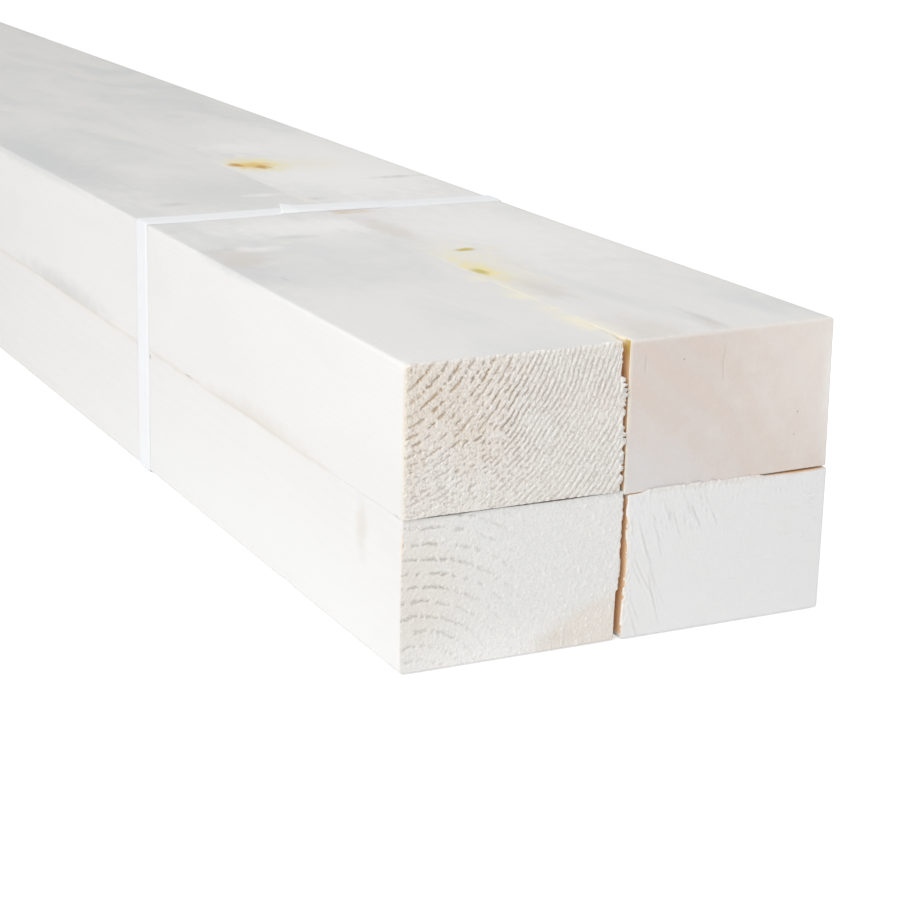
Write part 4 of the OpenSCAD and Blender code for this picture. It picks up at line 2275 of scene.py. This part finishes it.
def upper_left_stud() -> Stud:
    """The upper left stud, whose rings are torn into dashes and whose right edge is frayed."""
    return Stud(
        node="stud_top_left",
        rings=GrowthRings((-15.5, 66), inner=6.3, outer=1.68, span=60.0, wander=0.9),
        front=SawCut(
            seed=11, groove_depth=0.28, groove_width=0.36, dash=1.5, dash_level=0.38, jitter=0.85,
            broken=0.92, loose=(12, 6), loosened=0.2, heart=(19, 33), fade=(10, 34), faded=0.48,
            calmed=0.55, fuzz=0.1, flecks=1.0, pits=0.45, sunk=0.3, tint=0.95, stain=0.65,
            burrs=(
                Burr(Side.RIGHT, 1, 0.05, 0.28, coverage=1.0),
                Burr(Side.RIGHT, 1.8, 0.27, 0.4, coverage=1.2),
                Burr(Side.RIGHT, 0.9, 0.4, 0.56, coverage=0.5),
                Burr(Side.RIGHT, 1.9, 0.55, 0.78, coverage=1.2),
                Burr(Side.RIGHT, 0.4, 0.79, 0.97, coverage=0.5),
                Burr(Side.TOP, 0.7, 0, 0.12, coverage=1.0),
                Burr(Side.TOP, 0.3, coverage=0.5),
            ),
        ),
        rear=PLAIN_CUT, gap_side=Side.RIGHT, sawn=(240, 234, 227), ring_shade=0.04, rim_highlight=0.5,
        cloudy=0.6, dusty=0.7, end_rough=3.0, arrises=(0.06, 0.6, 0.06, 0.9),
        nicks=(
            Nick(Side.LEFT, 0, 30, 0.4),
            Nick(Side.LEFT, 65, 6, 0.7),
            Nick(Side.LEFT, 190, 12, 0.7),
        ),
        hollows=(
            Hollow(Side.RIGHT, 0.4, 12),
            Hollow(Side.RIGHT, 1.2, 8, 0.72, 1.1),
            Hollow(Side.BOTTOM, 0.2, 40, 0.1, 0.9),
        ),
        warp=Warp(((0, 0.4), (-0.65, 0.5), (-0.8, 0), (0, -0.6))),
        # Painted shade along the seam to the stud below, and a painted highlight along the upper right edge
        edge_tints=(
            EdgeTint("seam", Side.BOTTOM, 42, 500, 0.22, (1.5, 1.5)),
            EdgeTint("painted_highlight", Side.TOP, -20, 120, 1, (1, 6), (10, 50)),
        ),
        blemishes=UPPER_LEFT_MARKS,
        seed=101,
    )


UPPER_RIGHT_MARKS = (
    Blemish(Mark.PALE, (40, -1040, TOP), (58, 120, 4), 0.4),
    Blemish(Mark.PALE, (38, -918, TOP), (82, 88, 4), 0.3),
    Blemish(Mark.PALE, (52, -850, TOP), (46, 130, 4), 0.3),
    Blemish(Mark.PALE, (36, -922, TOP), (40, 50, 4), 0.4),
    Blemish(Mark.PALE, (22, -912, TOP), (30, 30, 4), 0.4),
    Blemish(Mark.PALE, (22, -838, TOP), (28, 28, 4), 0.4),
    Blemish(Mark.LIGHT, (26, -905, TOP), (36, 46, 4), 0.3),
    Blemish(Mark.PALE, (16, -884, TOP), (34, 34, 4), 0.5),
    Blemish(Mark.HALO, (32, -884, TOP), (30, 24, 4), 0.7),
    Blemish(Mark.HALO, (14, -884, TOP), (22, 26, 4), 0.7),
    Blemish(Mark.RESIN, (14, -880, TOP), (17, 24, 4), 0.5),
    Blemish(Mark.KNOT, (12, -883, TOP), (11, 11, 4), 0.7),
    Blemish(Mark.KNOT_HEART, (5.5, -880, TOP), (3.6, 6.5, 4), 0.6),
    Blemish(Mark.KNOT_HEART, (14, -887, TOP), (5.5, 6, 4), 0.6),
    Blemish(Mark.CLAY, (6, -1025, TOP), (9, 40, 4), 0.9),
    Blemish(Mark.HALO, (12, -1085, TOP), (19, 48, 4), 0.7),
    Blemish(Mark.HALO, (5, -1076, TOP), (13, 22, 4), 0.5),
    Blemish(Mark.HALO, (8, -1112, TOP), (13, 24, 4), 0.8),
    Blemish(Mark.RESIN, (5, -1098, TOP), (8, 24, 4), 0.9),
    Blemish(Mark.OLIVE, (3, -1100.5, TOP), (3.4, 7.5, 4), 0.5),
    Blemish(Mark.OLIVE, (15, -1067.5, TOP), (6, 3.2, 4), 0.5),
    Blemish(Mark.HALO, (24, -1068, TOP), (8, 6, 4), 0.8),
    Blemish(Mark.HALO, (1, -963, TOP), (5, 5.5, 3), 0.4),
    Blemish(Mark.CLAY, (9, -1130, TOP), (10, 26, 4), 0.9),
    Blemish(Mark.CLAY, (10, -1192, TOP), (20, 30, 4), 0.5),
    Blemish(Mark.GREY, (6, -961, TOP), (4, 4, 3), 0.6),
    Blemish(Mark.GREY, (56, -925, TOP), (16, 4.5, 3), 0.7),
    Blemish(Mark.GREY, (33.5, -1184, TOP), (2.8, 20, 3), 0.3),
    Blemish(Mark.CLAY, (32, -1192, TOP), (5, 14, 3), 0.4),
    # Painted shadow under the front edge of the strap, where it crosses the seam
    Blemish(Mark.TAN, (6, -991, TOP), (16, 4.5, 3), 0.4),
    Blemish(Mark.COOL, (4, END, 46), (48, 4, 30), 0.3),
    Blemish(Mark.ROSY, (76, END, 84), (62, 4, 60), 0.25),
    Blemish(Mark.PALE, (71.5, END, 72), (6, 4, 36), 0.2),
    # Painted highlight along the left edge of the front end
    Blemish(Mark.HALO, (-0.6, END, 70), (2.4, 4, 24), 0.3),
    Blemish(Mark.PIN, (18.1, END, 83.6), (0.45, 2, 0.45), 0.2),
    Blemish(Mark.PIN, (59, END, 63.9), (0.45, 2, 0.45), 0.2),
    Blemish(Mark.PIN, (58.3, END, 57), (0.35, 2, 0.35), 0.2),
)


def upper_right_stud() -> Stud:
    """The upper right stud, cut clean, with the knot and the resin on its top."""
    return Stud(
        node="stud_top_right", rings=GrowthRings((-55, -50), inner=11.0, outer=11.0, wander=3.0),
        front=SawCut(
            seed=23, fuzz=0.02, flecks=0.0, checks=((32, 29, 41), (5.4, 34, 41)),
            burrs=(Burr(Side.TOP, 0.15, coverage=1.0),),
        ),
        rear=PLAIN_CUT, gap_side=Side.LEFT, sawn=(228, 217, 210), ring_shade=0.4, rim_highlight=0.5,
        cloudy=0.05, dusty=0.12, arrises=(0.5, 0.5, 0.8, 0.06),
        nicks=(Nick(Side.LEFT, 0, 250, 0.25, 0.15),),
        warp=Warp(((-0.7, -0.6), (0, 0.33), (-0.95, 1.15), (-0.8, 0))),
        # Painted highlight along the upper left edge, painted shade in the gap's mouth below it, and the
        # gap's painted bounce light on the bottom near the lower left edge
        edge_tints=(
            EdgeTint("painted_highlight", Side.LEFT, -20, 130, 0.9, (2.4, 6), (20, 50)),
            EdgeTint("amber_and_bounce", Side.BOTTOM, -20, 40, 0.9, (0.1, 14), (1, 8)),
            EdgeTint("gap_mouth_shade", Side.LEFT, -20, 6, 0.9, (0.1, 8), (1, 5)),
        ),
        blemishes=UPPER_RIGHT_MARKS,
        seed=202,
    )


LOWER_LEFT_MARKS = (
    Blemish(Mark.CLEAN, (-70.65, -1100, 2), (3, 270, 40), 0.15),
    Blemish(Mark.WARM, (-77, END, 24), (38, 1.5, 34), 0.3),
    Blemish(Mark.PALE, (-42, END, -3), (52, 4, 20), 0.3),
    Blemish(Mark.BEIGE, (6, END, -6), (40, 4, 23.5), 0.06),
    Blemish(Mark.CLAY, (-20, END, 4), (12, 4, 3), 0.3),
    *LEFT_SEAM_SHADES,
    Blemish(Mark.PIN, (-70.65, -992.2, 43.6), (2, 0.9, 1.3), 0.3),
    Blemish(Mark.CLAY, (-70.65, -1173, 36), (2, 5.5, 13), 0.7),
    Blemish(Mark.BLUSH, (-70.5, END, 39), (0.7, 1.2, 7), 0.4),
    Blemish(Mark.TAN, (0.4, END, 29), (1, 1.5, 16), 0.9),
)


def lower_left_stud() -> Stud:
    """The lower left stud, with wide rings that fade to the right."""
    return Stud(
        node="stud_bottom_left", rings=GrowthRings((4, -12), inner=4.3, outer=4.3, wander=0.9),
        front=SawCut(
            seed=37, groove_depth=0.22, groove_width=0.5, dash=1.7, dash_level=0.36, jitter=1.0,
            broken=0.95, heart=(0, 31), fade=(8, 56), fuzz=0.07, flecks=0.8, pits=0.12, sunk=-0.3,
            tint=0.58, stain=0.1, burrs=(Burr(Side.RIGHT, 0.5, 0.34, 0.97, coverage=0.9),),
        ),
        rear=PLAIN_CUT, gap_side=Side.RIGHT, sawn=(238, 238, 236), torn=(182, 179, 172),
        ring_shade=0.02, end_rough=1.6, dusty=0.4, arrises=(0.9, 0.3, 0.5, 0.06),
        hollows=(
            Hollow(Side.TOP, 0.15, 40, 0.05, 0.9),
            Hollow(Side.RIGHT, 0.65, 12, -0.1, 0.335, 0.008),
        ),
        warp=Warp(((0.1, 0), (0, 0), (0.6, 0.5), (0.2, 0.4))),
        # Painted shade along the seam to the stud above
        edge_tints=(
            EdgeTint("seam", Side.LEFT, 42, 500, 0.22, (1.5, 1.5)),
        ),
        blemishes=LOWER_LEFT_MARKS,
        seed=303,
    )


LOWER_RIGHT_MARKS = (
    Blemish(Mark.CLAY, (20, END, 45.4), (22, 4, 1.8), 0.9),
    Blemish(Mark.CLAY, (46, END, 45.2), (28, 4, 1.8), 0.9),
    # Painted bounce light in the mouth of the gap between the two right ends
    Blemish(Mark.AMBER_AND_BOUNCE, (60, END, 45.4), (18, 4, 0.9), 0.3),
    Blemish(Mark.AMBER_AND_BOUNCE, (2, END, 45.2), (4, 4, 0.7), 0.3),
    # Painted highlight along the left edge of the front end
    Blemish(Mark.HALO, (0.6, END, 23), (2.8, 4, 24), 0.3),
    Blemish(Mark.TAN, (1.5, END, 24), (1.1, 1.5, 19), 0.9),
)


def lower_right_stud() -> Stud:
    """The lower right stud, scratched by the saw."""
    return Stud(
        node="stud_bottom_right", rings=GrowthRings((120, 30), inner=5.0, outer=5.0, wander=1.5),
        front=SawCut(
            seed=41, fuzz=0.03, flecks=0.2,
            scratches=(
                Scratches(12, (0, 0.15), (0.25, 0.88), 70, (9, 24), (0.3, 0.9)),
                Scratches(9, (0.15, 0.4), (0.82, 1), 68, (9, 15), (0.3, 0.9)),
                Scratches(46, (0, 0.42), (0.7, 1), 66, (1.5, 4), (0.2, 0.6)),
                Scratches(30, (0.4, 1), (0.88, 1), 72, (0.8, 2.2), (0.2, 0.6)),
                Scratches(14, (0.45, 0.9), (0.05, 0.85), 4, (3, 11), (0.15, 0.4)),
                Scratches(16, (0.88, 0.96), (0.4, 0.9), 2, (1, 3), (0.2, 0.6)),
            ),
            burrs=(
                Burr(Side.TOP, 0.8, 0.33, 0.93, flake=0.2, coverage=0.9),
                Burr(Side.LEFT, 0.8, 0.03, 0.95, flake=0.8, coverage=0.75),
            ),
        ),
        rear=PLAIN_CUT, gap_side=Side.LEFT, sawn=(241, 241, 242), torn=(186, 182, 178), ring_shade=0.0,
        rim_highlight=0.15, end_rough=0.5, dusty=0.25, tuft_light=0.25, arrises=(0.3, 0.8, 0.6, 0.6),
        hollows=(
            Hollow(Side.TOP, 0.3, 40, 0, 0.33),
            Hollow(Side.TOP, -0.3, 4, 0.34, 0.92),
            Hollow(Side.TOP, 0.2, 20, 0.93, 1.1),
            Hollow(Side.LEFT, 0.55, 12, 0.2, 0.75, 0.25),
        ),
        warp=Warp(((0.5, 0), (0.4, 0), (0.2, 0), (0.9, -0.6))),
        # The gap's painted bounce light on the top next to the upper left edge
        edge_tints=(
            EdgeTint("amber_and_bounce", Side.LEFT, -20, 40, 0.9, (14, 0.1), (1, 8)),
        ),
        blemishes=LOWER_RIGHT_MARKS,
        seed=404,
    )


def main() -> None:
    """Builds the studs, the straps and the studio."""
    logging.basicConfig(level=logging.INFO, format="%(name)s: %(message)s")
    effects = Effects()
    pine = PineFinish()
    plastic = StrapFinish().material(effects)
    studs = upper_left_stud(), upper_right_stud(), lower_left_stud(), lower_right_stud()
    finished = [(stud, pine.material(stud, effects)) for stud in studs]
    finished += [(Strap(node), plastic) for node in ("strap_front", "strap_rear")]
    for assembly, material in finished:
        piece = assembly.build()
        assembly.dress(piece, material)
        log.info("%s: %d faces", piece.name, len(piece.data.polygons))
    Studio().build()


if __name__ == "__main__":
    main()
